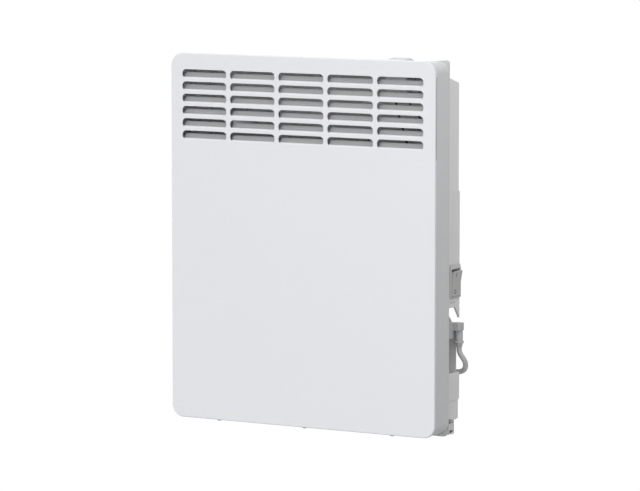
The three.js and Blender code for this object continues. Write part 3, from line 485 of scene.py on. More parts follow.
def lead_line():
    """The lead's whole line in metres, from the strain relief to the end of its sheath."""
    turns = 2 * COIL["turns"] + COIL_CLIMB
    steps = round(turns * COIL_STEPS)
    coil = [coil_point(turns * step / steps) for step in range(steps + 1)]
    tail = [coil[-1] - Vector((0, 0, drop)) for drop in TAIL_DROPS]
    return [at(*p) for p in through(LEAD_ROUTE, 3)[:-1] + coil[1:] + tail]


LEAD_LINE = lead_line()


# %% The lead's tube
def swept(name, line, radius, sides=16):
    """A closed round tube along the line, with a UV map that runs once round it and along it in metres."""
    tangents = [(b - a).normalized() for a, b in zip(line, line[1:])]
    tangents = [tangents[0]] + [(a + b).normalized() for a, b in zip(tangents, tangents[1:])] + [tangents[-1]]
    side = tangents[0].orthogonal().normalized()
    points, along = [], [0.0]
    for i, (centre, tangent) in enumerate(zip(line, tangents)):
        side = (side - tangent * side.dot(tangent)).normalized()
        up = tangent.cross(side)
        for k in range(sides):
            turn = 2 * math.pi * k / sides
            points.append(centre + radius * (math.cos(turn) * side + math.sin(turn) * up))
        if i:
            along.append(along[-1] + (centre - line[i - 1]).length)
    faces = [list(range(sides))[::-1], [len(points) - sides + k for k in range(sides)]]
    for i in range(len(line) - 1):
        for k in range(sides):
            a, b = i * sides + k, i * sides + (k + 1) % sides
            faces.append([a, b, b + sides, a + sides])
    made = mesh_object(name, points, faces)
    layer = made.data.uv_layers.new(name="along").data
    for polygon in made.data.polygons:
        corners = [(v // sides, v % sides) for v in polygon.vertices]
        wraps = len(corners) == 4 and {k for _, k in corners} == {0, sides - 1}
        for loop, (ring, k) in zip(polygon.loop_indices, corners):
            layer[loop].uv = ((sides if wraps and k == 0 else k) / sides, along[ring])
    return smoothed(made, 50, weighted=False)


lead = swept("mains_lead", LEAD_LINE, LEAD_DIAMETER / 2 * MM, 20)
piece(lead, LEAD_SHEATH, "heater", "lead_sheath", "mains_lead_run", "mains_lead_coil", "mains_lead_tail")
print("lead faces:", len(lead.data.polygons))

# %% [markdown]
# ## What sits on the lead
#
# The strain relief is one soft moulding: a plug, a collar and a taper with ribs that let it bend. It is
# turned from its profile. The far end is stripped for a fixed connection, three cores with crimped ferrules,
# and a nylon tie with a head holds the coil's turns together.

# %% Turned pieces
def turned(name, profile, segments=40, place=None):
    """A closed piece turned from [radius, height] pairs in millimetres, axis to axis."""
    points, rings = [], []
    for radius, height in profile:
        if radius < 1e-6:
            rings.append([len(points)])
            points.append(Vector((0, 0, height)) * MM)
            continue
        rings.append(list(range(len(points), len(points) + segments)))
        for k in range(segments):
            turn = 2 * math.pi * k / segments
            points.append(Vector((radius * math.cos(turn), radius * math.sin(turn), height)) * MM)
    faces = []
    for low, high in zip(rings, rings[1:]):
        for k in range(segments):
            n = (k + 1) % segments
            face = [low[k % len(low)], low[n % len(low)], high[n % len(high)], high[k % len(high)]]
            face = list(dict.fromkeys(face))
            if len(face) > 2:
                faces.append(face)
    made = cleaned(mesh_object(name, points, faces))
    if place is not None:
        made.data.transform(place)
    return made


BOOT_FOOT, BOOT_TOP = 101.9, 121.7
RIBS = {"count": 4, "pitch": 1.02, "radius": 3.72, "growth": 0.14, "crest": 0.22}


def relief_profile():
    """The plug and collar from the source, with ribs on the taper in place of its plain cone."""
    low, top = BOOT_FOOT, BOOT_TOP
    profile = [(0, low), (3.5, low), (3.62, low + 0.12)]
    for rib in range(RIBS["count"]):
        foot = low + 0.3 + rib * RIBS["pitch"]
        out = RIBS["radius"] + rib * RIBS["growth"]
        crest = out + RIBS["crest"]
        profile += [(out, foot + 0.12), (crest, foot + 0.32), (crest, foot + 0.6), (out, foot + 0.8)]
    profile += [(4.2, low + 4.3), (5.3, low + 4.75), (5.6, low + 5.05), (5.6, low + 7.2), (5.35, low + 7.55)]
    return profile + [(4.5, low + 8.0), (4.5, top - 0.4), (4.1, top), (0, top)]


relief = turned("strain_relief_boot", relief_profile(), 48, Matrix.Translation(at(*LEAD_EXIT[:2], 0)))
piece(smoothed(relief, 35), LEAD_SHEATH, "heater", "lead_sheath", "strain_relief")


# %% The stripped end and the tie
def joined(name, *parts):
    """Several meshes as one object."""
    work = bmesh.new()
    for part in parts:
        work.from_mesh(part.data)
        bpy.data.objects.remove(part)
    mesh = bpy.data.meshes.new(name)
    work.to_mesh(mesh)
    work.free()
    made = bpy.data.objects.new(name, mesh)
    bpy.context.scene.collection.objects.link(made)
    return made


def striped(name, ground, stripe):
    """The earth core's sheath: two colours that run along it, by its UV map."""
    skin = Finish(name, IOR=1.48)
    band = ((wound(skin) * 4 * math.pi).maths("SINE") * 12.0 + 0.5).clipped()
    skin.feed("Base Color", skin.blend(band, ground, stripe))
    skin.feed("Roughness", skin.noise(1500.0, 2.0) * 0.18 + 0.32)
    return skin.material


CORE_RADIUS, CORE_OFFSET, CORE_DROPS = 1.22, 1.5, (0.2, 6, 14, 21.6)
FERRULE_PROFILE = [(0, 0), (0.75, 0), (0.85, 0.3), (0.85, 7.4), (1.2, 8.2), (1.2, 8.9), (0, 8.9)]
FERRULE_DROP = 29.2


def stripped_end():
    """Three cores in their colours, each with a crimped ferrule."""
    made = []
    for core, material in enumerate((LIVE_SHEATH, NEUTRAL_SHEATH, EARTH_SHEATH)):
        turn = core / CORES * 2 * math.pi
        foot = LEAD_LINE[-1] + CORE_OFFSET * MM * Vector((math.cos(turn), math.sin(turn), 0))
        line = [foot - Vector((0, 0, drop * MM)) for drop in CORE_DROPS]
        wire = swept(f"core_{core + 1}", line, CORE_RADIUS * MM, 14)
        made.append(piece(wire, material, "heater", "wire_sheath", "lead_cores"))
        place = Matrix.Translation(foot - Vector((0, 0, FERRULE_DROP * MM)))
        ferrule = turned(f"ferrule_{core + 1}", FERRULE_PROFILE, 16, place)
        made.append(piece(smoothed(ferrule, 35, weighted=False), STEEL, "heater", "steel", "lead_cores"))
    return made


EARTH_SHEATH = striped("earth sheath", (0.06, 0.3, 0.04), (0.75, 0.6, 0.03))
cores = stripped_end()
print("stripped end:", sum(len(made.data.polygons) for made in cores), "faces")

# %% [markdown]
# ## Flat plates with holes
#
# Straps, tabs and covers are flat blanks with rounded corners. A constrained triangulation fills any outline
# round its holes, and the two skins and the walls between them close the plate.

# %% Outlines and plates
def rounded(low, high, radii, steps=6):
    """A rectangle's outline, anticlockwise from its low right corner, with one radius or four in order."""
    if not hasattr(radii, "__len__"):
        radii = (radii,) * 4
    (u0, v0), (u1, v1) = low, high
    corners = ((u1, v0, -1, 1), (u1, v1, -1, -1), (u0, v1, 1, -1), (u0, v0, 1, 1))
    outline = []
    for quarter, ((u, v, su, sv), radius) in enumerate(zip(corners, radii)):
        centre = (u + su * radius, v + sv * radius)
        for step in range(steps + 1 if radius else 1):
            turn = math.pi / 2 * (quarter - 1 + step / steps)
            outline.append((centre[0] + radius * math.cos(turn), centre[1] + radius * math.sin(turn)))
    return outline


def ring_of(u, v, radius, steps=24):
    """A circle's outline."""
    return [
        (u + radius * math.cos(2 * math.pi * k / steps), v + radius * math.sin(2 * math.pi * k / steps))
        for k in range(steps)
    ]


def inside(point, outline):
    """Whether a flat point lies inside the outline."""
    odd = False
    for (u0, v0), (u1, v1) in zip(outline, outline[1:] + outline[:1]):
        if (v0 > point[1]) != (v1 > point[1]) and point[0] < u0 + (point[1] - v0) * (u1 - u0) / (v1 - v0):
            odd = not odd
    return odd


def filled(outline, holes=()):
    """Triangles between an outline and its holes, as indices into their points in order."""
    loops = [outline, *holes]
    points = [Vector(p) for loop in loops for p in loop]
    edges, start = [], 0
    for loop in loops:
        edges += [(start + i, start + (i + 1) % len(loop)) for i in range(len(loop))]
        start += len(loop)
    made = delaunay_2d_cdt(points, edges, [], 0, 1e-6)
    origin = [ids[0] for ids in made[3]]
    triangles = []
    for face in made[2]:
        middle = sum((made[0][i] for i in face), Vector((0, 0))) / 3
        if inside(middle, outline) and not any(inside(middle, hole) for hole in holes):
            triangles.append([origin[i] for i in face])
    return triangles


def plate(name, outline, holes, place, thickness):
    """A closed plate of that thickness, where place(u, v, w) gives a point at depth w as a vector."""
    loops = [list(outline), *map(list, holes)]
    flat = [p for loop in loops for p in loop]
    count = len(flat)
    points = [place(u, v, 0.0) for u, v in flat] + [place(u, v, thickness) for u, v in flat]
    triangles = filled(loops[0], loops[1:])
    faces = [t[::-1] for t in triangles] + [[i + count for i in t] for t in triangles]
    start = 0
    for loop in loops:
        n = len(loop)
        for i in range(start, start + n):
            after = start + (i - start + 1) % n
            faces.append([i, after, after + count, i + count])
        start += n
    return cleaned(mesh_object(name, points, faces))


def bevelled(made, width, segments=2, angle=35.0):
    """Edges broken by a small radius, in metres, as every real edge is."""
    bevel = made.modifiers.new("broken edges", "BEVEL")
    bevel.width, bevel.segments, bevel.limit_method = width, segments, "ANGLE"
    bevel.angle_limit, bevel.use_clamp_overlap, bevel.miter_outer = math.radians(angle), True, "MITER_ARC"
    baked(made)
    return smoothed(made, 40)


STRAP = {"low": (80.2, 135.7), "high": (96.4, 154.5), "radius": 4, "thick": 1, "width": 4.8}
TIE_HEAD = {"low": (84.0, 149.6), "high": (91.5, 153.2), "radius": 0.8, "width": 6.4}


def tie():
    """The tie: a strap round the coil's turns, with the head that holds it."""
    low, high, thick = STRAP["low"], STRAP["high"], STRAP["thick"]
    bore = rounded([v + thick for v in low], [v - thick for v in high], STRAP["radius"] - thick, 5)
    outline = rounded(low, high, STRAP["radius"], 5)
    across = COIL["across"] - STRAP["width"] / 2
    strap = plate("strap", outline, [bore], lambda u, v, w: at(across + w, u, v), STRAP["width"])
    outline = rounded(TIE_HEAD["low"], TIE_HEAD["high"], TIE_HEAD["radius"], 3)
    across = COIL["across"] - TIE_HEAD["width"] / 2
    head = plate("head", outline, [], lambda u, v, w: at(across + w, u, v), TIE_HEAD["width"])
    return bevelled(joined("cord_tie_band", strap, head), 0.25 * MM)


band = piece(tie(), DARK_PLASTIC, "heater", "dark_plastic", "cord_tie")
print("tie:", len(band.data.polygons), "faces")

# %% Where the lead comes out
at(*LEAD_EXIT)

# %% [markdown]
# ## The louvred front
#
# The front is one pressing: flat sheet with its edge folded back over a small radius, and thirty louvres. A
# louvre is lanced along its top and round its ends and pressed in about its lower edge. There the sheet rolls
# in as a lip that catches the light, then turns up again as a flap in its own shade, and a gap stays open
# along the top for the warm air. It could be cut from a solid, but the rolled lip is what shows. One louvre
# is made with the sheet round it, as a tile. Geometry Nodes sets the tiles out in five columns of six
# and welds them to the folded frame.

# %% One louvre, as a tile of the sheet
SHEET = 1.2
LOUVRE = {"width": 63.3, "height": 11.0, "corner": 5.2, "gap": 5.2, "pitch": 15.0, "columns": 5, "rows": 6}
PITCH = LOUVRE["width"] + LOUVRE["gap"]
BELOW = 2.0
TILE = ((-LOUVRE["gap"] / 2, -BELOW), (LOUVRE["width"] + LOUVRE["gap"] / 2, LOUVRE["pitch"] - BELOW))
FLAP = {"lip": 1.4, "shelf": 3.5, "knee": 1.2, "steep": 68, "upright": 12, "height": 7.3, "gap": 0.45}
ROOT_CORNER, TIP_CORNER = 4.8, 4.0


def flap_profile():
    """The flap's outer skin from its root: each row's depth, height, way into the sheet and length so far."""
    rows, depth, height, length = [], 0.0, 0.0, 0.0

    def go(turn, run):
        nonlocal depth, height, length
        depth, height, length = depth + run * math.sin(turn), height + run * math.cos(turn), length + run
        rows.append((depth, height, (math.cos(turn), -math.sin(turn)), length))

    steep, upright = math.radians(FLAP["steep"]), math.radians(FLAP["upright"])
    go(0.0, 0.0)
    for step in range(9):
        go(steep * (step + 0.5) / 9, FLAP["lip"] * steep / 9)
    go(steep, FLAP["shelf"])
    for step in range(6):
        go(steep + (upright - steep) * (step + 0.5) / 6, FLAP["knee"] * (steep - upright) / 6)
    left = (FLAP["height"] - height) / math.cos(upright)
    for share in (0.2, 0.25, 0.2, 0.15, 0.1, 0.06, 0.04):
        go(upright, left * share)
    return rows


def pulled_in(height, length, tip):
    """How far in from the opening's end the flap's own end lies, at that height and length from the root."""
    near_root = ROOT_CORNER - min(length, ROOT_CORNER)
    near_tip = max(0.0, height - (tip - TIP_CORNER))
    low = ROOT_CORNER - math.sqrt(ROOT_CORNER**2 - near_root**2)
    high = TIP_CORNER - math.sqrt(max(0.0, TIP_CORNER**2 - near_tip**2))
    return FLAP["gap"] + low + high


def louvre_tile():
    """The sheet round one opening with its flap, open along the tile's own border."""
    width, height = LOUVRE["width"], LOUVRE["height"]
    low, high = ROOT_CORNER + FLAP["gap"] - 0.2, LOUVRE["corner"]
    opening = rounded((0, 0), (width, height), (low, high, high, low), 8)
    border = [TILE[0], (TILE[1][0], TILE[0][1]), TILE[1], (TILE[0][0], TILE[1][1])]
    root = [(width - low - 0.2, 0), (low + 0.2, 0)]
    points, faces = [], []

    def add(u, v, w):
        points.append(Vector((u, w, v)) * MM)
        return len(points) - 1

    skins = []
    for depth in (0.0, SHEET):
        outer = [add(*p, depth) for p in border]
        right, top, left = opening[:18], opening[17:19], opening[18:]
        chain = {p: add(*p, depth) for p in dict.fromkeys(opening + root)}
        skin = [
            [outer[0], outer[1], chain[opening[0]], chain[root[0]], chain[root[1]], chain[opening[-1]]],
            [outer[1], outer[2], *(chain[p] for p in reversed(right))],
            [outer[2], outer[3], *(chain[p] for p in reversed(top))],
            [outer[3], outer[0], *(chain[p] for p in reversed(left))],
        ]
        faces.extend(skin if depth == 0.0 else [f[::-1] for f in skin])
        skins.append(chain)
    front, back = skins
    walls = [root[1], *reversed(opening), root[0]]
    for a, b in zip(walls, walls[1:]):
        faces.append([front[a], front[b], back[b], back[a]])
    rows = flap_profile()
    tip = rows[-1][1]
    outer_rows, inner_rows = [(front[root[1]], front[root[0]])], [(back[root[1]], back[root[0]])]
    for depth, up, (into, down), length in rows[1:]:
        pull = pulled_in(up, length, tip)
        outer_rows.append((add(pull, up, depth), add(width - pull, up, depth)))
        behind = (up + SHEET * down, depth + SHEET * into)
        inner_rows.append((add(pull, *behind), add(width - pull, *behind)))
    for (a, b), (c, d) in zip(outer_rows, outer_rows[1:]):
        faces.append([a, b, d, c])
    for (a, b), (c, d) in zip(inner_rows, inner_rows[1:]):
        faces.append([a, c, d, b])
    for (a, b), (c, d), (e, f), (g, h) in zip(outer_rows, outer_rows[1:], inner_rows, inner_rows[1:]):
        faces += [[a, c, g, e], [b, f, h, d]]
    (a, b), (c, d) = outer_rows[-1], inner_rows[-1]
    faces.append([a, b, d, c])
    return mesh_object("louvre_tile", points, faces)


def broken_edges(made, width, angle=50.0):
    """The sheared edges of an open tile, rounded, while its border stays as it is."""
    work = bmesh.new()
    work.from_mesh(made.data)
    bmesh.ops.recalc_face_normals(work, faces=work.faces)
    sharp = [e for e in work.edges if len(e.link_faces) == 2 and e.calc_face_angle() > math.radians(angle)]
    settings = {"segments": 2, "profile": 0.5, "affect": "EDGES", "clamp_overlap": True}
    bmesh.ops.bevel(work, geom=sharp, offset=width, **settings)
    work.to_mesh(made.data)
    work.free()
    return made


tile = broken_edges(louvre_tile(), 0.22 * MM)
print("one louvre:", len(tile.data.polygons), "faces")


# %% The folded frame round the louvres
PANEL = {"half": 185.0, "height": 450.0, "radius": 15.5, "fold": 1.3, "rim": 4.0, "above": 20.0}
LOWEST_ROW = PANEL["height"] - PANEL["above"] - LOUVRE["height"] - (LOUVRE["rows"] - 1) * LOUVRE["pitch"]
GRID_LOW = (-LOUVRE["columns"] * PITCH / 2, LOWEST_ROW - BELOW)


def panel_ring(inset, depth):
    """The front's outline drawn in by inset, at that depth."""
    low, high = (-PANEL["half"] + inset, inset), (PANEL["half"] - inset, PANEL["height"] - inset)
    return [(u, depth, v) for u, v in rounded(low, high, PANEL["radius"] - inset, 14)]


def grid_outline():
    """The border of the block of tiles, with a point at every tile's corner."""
    columns, rows = LOUVRE["columns"], LOUVRE["rows"]
    us = [GRID_LOW[0] + PITCH * i for i in range(columns + 1)]
    vs = [GRID_LOW[1] + LOUVRE["pitch"] * i for i in range(rows + 1)]
    outline = [(u, vs[0]) for u in us] + [(us[-1], v) for v in vs[1:]]
    return outline + [(u, vs[-1]) for u in us[-2::-1]] + [(us[0], v) for v in vs[-2:0:-1]]


def fold_profile():
    """The folded edge from the front skin round to the back skin, as [inset, depth]."""
    fold, rim = PANEL["fold"], PANEL["rim"]
    turns = [math.radians(90) * k / 8 for k in range(9)]
    outer = [(fold - fold * math.sin(t), fold - fold * math.cos(t)) for t in turns]
    lip = [(0, rim - 0.35), (0.12, rim - 0.1), (0.35, rim), (SHEET - 0.35, rim), (SHEET - 0.12, rim - 0.1)]
    small = fold - SHEET
    inner = [(fold - small * math.sin(t), fold - small * math.cos(t)) for t in reversed(turns)]
    return outer + lip + [(SHEET, rim - 0.35)] + inner


def folded_frame():
    """The front's sheet round the block of louvres, with its folded edge."""
    rings = [panel_ring(*p) for p in fold_profile()]
    points = [Vector(p) for ring in rings for p in ring]
    n = len(rings[0])
    faces = []
    for i in range(len(rings) - 1):
        for k in range(n):
            a, b = i * n + k, i * n + (k + 1) % n
            faces.append([a, b, b + n, a + n])
    grid = grid_outline()
    triangles = filled([(p[0], p[2]) for p in rings[0]], [grid])
    for start, depth in ((0, 0.0), ((len(rings) - 1) * n, SHEET)):
        offset = len(points)
        points += [Vector((u, depth, v)) for u, v in grid]
        faces += [[start + i if i < n else offset + i - n for i in triangle] for triangle in triangles]
    return mesh_object("folded_frame", [p * MM for p in points], faces)


panel_frame = folded_frame()
print("folded frame:", len(panel_frame.data.polygons), "faces")


# %% Geometry Nodes from Python
class Growth(Graph):
    """A Geometry Nodes tree with named inputs, which works on the object that it is given to."""

    KINDS = {
        "int": "NodeSocketInt", "float": "NodeSocketFloat", "vector": "NodeSocketVector",
        "object": "NodeSocketObject", "material": "NodeSocketMaterial",
    }

    def __init__(self, name, **inputs):
        super().__init__(bpy.data.node_groups.new(name, "GeometryNodeTree"))
        face = self.tree.interface
        face.new_socket("Geometry", in_out="INPUT", socket_type="NodeSocketGeometry")
        face.new_socket("Geometry", in_out="OUTPUT", socket_type="NodeSocketGeometry")
        for title, kind in inputs.items():
            face.new_socket(title, in_out="INPUT", socket_type=self.KINDS[kind])
        self.start = self.tree.nodes.new("NodeGroupInput")

    def given(self, name="Geometry"):
        return Wire(self, self.start.outputs[name])

    def ends_with(self, geometry, material):
        """Real geometry with its finish, out of the tree."""
        real = self.node("GeometryNodeRealizeInstances", None, {0: geometry})
        welded = self.node("GeometryNodeMergeByDistance", None, {"Geometry": real, "Distance": 5e-6})
        painted = self.node("GeometryNodeSetMaterial", None, {"Geometry": welded, "Material": material})
        end = self.tree.nodes.new("NodeGroupOutput")
        self.tree.links.new(painted.socket, end.inputs[0])

    def grow(self, made, **values):
        """The object's mesh after the tree, with the modifier gone."""
        modifier = made.modifiers.new(self.tree.name, "NODES")
        modifier.node_group = self.tree
        names = {s.name: s.identifier for s in self.tree.interface.items_tree if s.in_out == "INPUT"}
        for name, value in values.items():
            modifier[names[name]] = value
        return baked(made)


def copies_on_grid():
    """Sets copies of a tile out on an upright grid and joins them to the mesh that the tree is given."""
    tree = Growth(
        "tiles on a grid", columns="int", rows="int", across="float", up="float", corner="vector",
        tile="object", finish="material",
    )
    columns, rows = tree.given("columns"), tree.given("rows")
    size_x, size_z = (columns - 1) * tree.given("across"), (rows - 1) * tree.given("up")
    inputs = {"Size X": size_x, "Size Y": size_z, "Vertices X": columns, "Vertices Y": rows}
    grid = tree.node("GeometryNodeMeshGrid", None, inputs)
    half = tree.node("ShaderNodeCombineXYZ", None, {"X": size_x / 2, "Z": size_z / 2})
    place = tree.node("ShaderNodeVectorMath", {"operation": "ADD"}, {0: half, 1: tree.given("corner")})
    inputs = {"Geometry": grid, "Rotation": (math.pi / 2, 0, 0), "Translation": place}
    upright = tree.node("GeometryNodeTransform", None, inputs)
    info = tree.node("GeometryNodeObjectInfo", None, {"Object": tree.given("tile")}, out="Geometry")
    inputs = {"Points": upright, "Instance": info}
    copies = tree.node("GeometryNodeInstanceOnPoints", None, inputs)
    both = tree.node("GeometryNodeJoinGeometry", None, {0: copies})
    tree.tree.links.new(tree.given().socket, both.socket.node.inputs["Geometry"])
    tree.ends_with(both, tree.given("finish"))
    return tree


# %% The front, welded from its frame and thirty louvres
LUG = {"half": 8, "back": 13.5, "radius": 3, "up": 2.8, "hole": (9.5, 1.4)}
LUG_PLACES = (-122, 0, 122)


def lug(across):
    """A lug that a bottom screw goes into, bent back from behind the sheet."""
    low, high = (across - LUG["half"], SHEET - 0.1), (across + LUG["half"], LUG["back"])
    outline = rounded(low, high, (0, LUG["radius"], LUG["radius"], 0), 5)
    hole = ring_of(across, *LUG["hole"], 20)
    return plate("lug", outline, [hole], lambda u, v, w: Vector((u, v, LUG["up"] + w)) * MM, SHEET)


front = copies_on_grid().grow(
    panel_frame,
    columns=LOUVRE["columns"],
    rows=LOUVRE["rows"],
    across=PITCH * MM,
    up=LOUVRE["pitch"] * MM,
    corner=Vector((GRID_LOW[0] - TILE[0][0], 0, GRID_LOW[1] - TILE[0][1])) * MM,
    tile=tile,
    finish=FRONT_ENAMEL,
)
bpy.data.objects.remove(tile)
front = joined("louvred_front", cleaned(front), *(lug(x) for x in LUG_PLACES))
front.data.transform(Matrix.Translation(at(0, 0, 0)))
piece(smoothed(front, 32), FRONT_ENAMEL, "heater", "front_enamel", "front_panel")
print("front:", len(front.data.polygons), "faces")

# %% [markdown]
# ## Pressings and mouldings with broken edges
#
# The other sheet and plastic pieces have their real shapes in the source, but with edges like knives, where
# a real bend has a radius and a real moulding is rounded a little. So each solid is copied, its loose
# triangles are welded and its flat faces made whole, and its edges are rounded by a width of its own. A few
# are moved by a millimetre or two first, and the housing's back wall is opened behind the lead's notch.

# %% Solids with broken edges
def eased(start, end, value):
    """0 before the start, 1 after the end and a soft step between them."""
    share = min(max((value - start) / (end - start), 0), 1)
    return share * share * (3 - 2 * share)


TOP_STARTS, TOP_ENDS = at(0, 0, 432).z, at(0, 0, 447).z
EAR_STARTS, EAR_ENDS = 158 * MM, 179 * MM
CASING_DROP, PLATE_DROP, BEZEL_DROP = 1.0, 1.9, 0.9
ROCKER_GAIN, ROCKER_MIDDLE = 1.1, at(0, 64, 0).y


def lowered(point, drop):
    """The point that many millimetres further down."""
    return Vector((point.x, point.y, point.z - drop * MM))


def low_top(point):
    """The casing's top comes out a little below the solid's, so that the front's edge hides it."""
    return lowered(point, CASING_DROP * eased(TOP_STARTS, TOP_ENDS, point.z))


def plate_top(point):
    """The back plate's top edge, which shows only at its right corner, where it rises."""
    inner = 1 - eased(EAR_STARTS, EAR_ENDS, point.x)
    return lowered(point, PLATE_DROP * inner * eased(TOP_STARTS, TOP_ENDS, point.z))


def seated(point):
    """The bezel follows the casing's top down."""
    return lowered(point, BEZEL_DROP)


def wide_rocker(point):
    """The rocker's sides come close to the frame that it rocks in."""
    return Vector((point.x, ROCKER_MIDDLE + (point.y - ROCKER_MIDDLE) * ROCKER_GAIN, point.z))


RESHAPED = {
    "casing_wrap": low_top, "back_plate": plate_top, "dial_bezel": seated, "power_rocker": wide_rocker,
}
PLATE_CUTS = (150, 158, 164, 170)


def cut_by(made, tool):
    """Takes the tool's shape out of a closed mesh."""
    cut = made.modifiers.new("cut", "BOOLEAN")
    cut.object, cut.operation, cut.solver = tool, "DIFFERENCE", "EXACT"
    baked(made)
    bpy.data.objects.remove(tool)


NOTCH = {"low": (150, 134), "high": (173.6, 150.5), "front": 75, "depth": 5}


def notch_opening():
    """What the housing's back wall still lacks behind the notch, as a block to cut out of it."""
    outline = rounded(NOTCH["low"], NOTCH["high"], 0)
    return plate("opening", outline, [], lambda u, v, w: at(u, NOTCH["front"] + w, v), NOTCH["depth"])


def welded(made):
    """The object's mesh for work, with the corners of its loose triangles merged."""
    work = bmesh.new()
    work.from_mesh(made.data)
    bmesh.ops.remove_doubles(work, verts=work.verts, dist=2e-5)
    return work


def softened(node, width, segments=2, angle=30.0, flat=1.5):
    """A copy of a node's solid, its flat faces whole and its edges rounded by that width in millimetres."""
    made = bpy.data.objects.new(node + "_dressed", NODES[node].data.copy())
    bpy.context.scene.collection.objects.link(made)
    work = welded(made)
    if node == "rear_housing":
        work.to_mesh(made.data)
        work.free()
        cut_by(made, notch_opening())
        work = welded(made)
    if node == "back_plate":
        for across in PLATE_CUTS:
            everything = [*work.verts, *work.edges, *work.faces]
            plane = {"plane_co": at(across, 0, 0), "plane_no": (1, 0, 0)}
            bmesh.ops.bisect_plane(work, geom=everything, dist=1e-7, **plane)
    if node in RESHAPED:
        for vertex in work.verts:
            vertex.co = RESHAPED[node](vertex.co)
    bmesh.ops.dissolve_degenerate(work, dist=1e-6, edges=work.edges)
    bmesh.ops.dissolve_limit(work, angle_limit=math.radians(flat), verts=work.verts, edges=work.edges)
    work.to_mesh(made.data)
    work.free()
    for name in list(made.keys()):
        del made[name]
    return bevelled(made, width * MM, segments, angle) if width else smoothed(made, angle)


DRESSED = [
    (CASING_ENAMEL, "casing_enamel", {"casing_wrap": 0.35, "bottom_skirt": 0.4}),
    (PLATE_ENAMEL, "casing_enamel", {"back_plate": 0.3}),
    # The housing's lighter enamel is painted light.
    (HOUSING_LIT_ENAMEL, "casing_enamel", {"rear_housing": 0.4}),
    # The pocket's darker enamel is painted shade.
    (POCKET_SHADE_ENAMEL, "casing_enamel", {"cord_pocket": 0.3}),
    (WHITE_PLASTIC, "white_plastic", {"service_cover": 0.5, "terminal_block": 0.4}),
    (DIAL_PLASTIC, "white_plastic", {"dial_bezel": 0.25, "thermostat_dial": 0.2}),
    (SWITCH_PLASTIC, "white_plastic", {"switch_housing": 0.35}),
    (ROCKER_PLASTIC, "grey_plastic", {"power_rocker": 0.5}),
    (GREY_PLASTIC, "grey_plastic", {"cord_grip": 0.7, "thermostat_body": 0.5}),
    (DARK_PLASTIC, "dark_plastic", {"thermal_cutout": 0.3}),
    (ZINC, "galvanised", {"heat_shield": 0.2, "cutout_strap": 0.25}),
    (ZINC, "galvanised", {f"element_bracket_{side}": 0.25 for side in ("left", "right")}),
    (ALUMINIUM, "aluminium", {"heating_element": 0.35}),
    (STEEL, "steel", {"dial_shaft": 0.3, "terminal_pin_left": 0.2, "terminal_pin_right": 0.2}),
    (ZINC, "galvanised", {f"bracket_{name}_rail": 0.6 for name in ("top", "lower")}),
    (ZINC, "galvanised", {f"bracket_upright_{side}": 0.6 for side in ("left", "right")}),
]

bodies = frame["record"]["behaviour"]["bodies"]
BODY_OF = {node: body for body, nodes in bodies.items() for node in nodes}
for material, slot, widths in DRESSED:
    for node, width in widths.items():
        dressed = softened(node, width)
        piece(dressed, material, BODY_OF[node], slot, node)
        print(f"{node}: {len(dressed.data.polygons)} faces")

# %% The rocker's two marks
ROCKER_PIVOT, ROCKER_TILT, ROCKER_FACE = (170.5, 181), math.radians(5), 9.3
MARK_ON = ((59.5, 8.4), (60.8, 13.4))
MARK_OFF = {"place": (60.2, -9.6), "outer": 2.6, "inner": 1.6}


def on_rocker(depth, along, out):
    """A place on the rocker's two faces: back from the front, up from its middle and out from its skin."""
    c, s = math.cos(ROCKER_TILT), math.sin(ROCKER_TILT)
    x = ROCKER_FACE + abs(along) * math.tan(ROCKER_TILT)
    lean = 2 * ROCKER_TILT if along > 0 else 0.0
    across, up = ROCKER_PIVOT[0] + x * c + along * s, ROCKER_PIVOT[1] + along * c - x * s
    return at(across + out * math.cos(lean), depth, up - out * math.sin(lean))


def mark(name, outline, *holes):
    """A flat mark on the rocker, proud of its skin by a twentieth of a millimetre."""
    made = plate(name, outline, holes, lambda u, v, w: on_rocker(u, v, 0.05 - w), 0.2)
    return piece(smoothed(made, 30, weighted=False), MARK_INK, "rocker", "dark_plastic")


mark("mark_on", rounded(*MARK_ON, 0.2, 2))
mark("mark_off", *(ring_of(*MARK_OFF["place"], MARK_OFF[edge], 28) for edge in ("outer", "inner")))
print("marks: a bar for on, a ring for off")

# %% [markdown]
# ## Screws, and the dial's marks
#
# Both repeat. The screws have pan heads with a cross recess: three point up through the bottom and six join
# the back plate to the casing. One of each size is turned and its recess cut. The dial has a pointer, and its
# bezel a dot for every 30 degrees that it turns. Geometry Nodes sets the copies on their places.

# %% Copies on points
def copies_on_points():
    """Sets a copy of an object on every point of the mesh that the tree is given."""
    tree = Growth("copies on points", copy="object", size="float", finish="material")
    info = tree.node("GeometryNodeObjectInfo", None, {"Object": tree.given("copy")}, out="Geometry")
    size = tree.given("size")
    scale = tree.node("ShaderNodeCombineXYZ", None, {"X": size, "Y": size, "Z": size})
    inputs = {"Points": tree.given(), "Instance": info, "Scale": scale}
    tree.ends_with(tree.node("GeometryNodeInstanceOnPoints", None, inputs), tree.given("finish"))
    return tree


COPIES = copies_on_points()
BOTTOM_SCREW = {"head": 3.2, "height": 3.39, "shank": 1.1, "length": 10}
PLATE_SCREW = {"head": 2.7, "height": 1.8, "shank": 1.4}


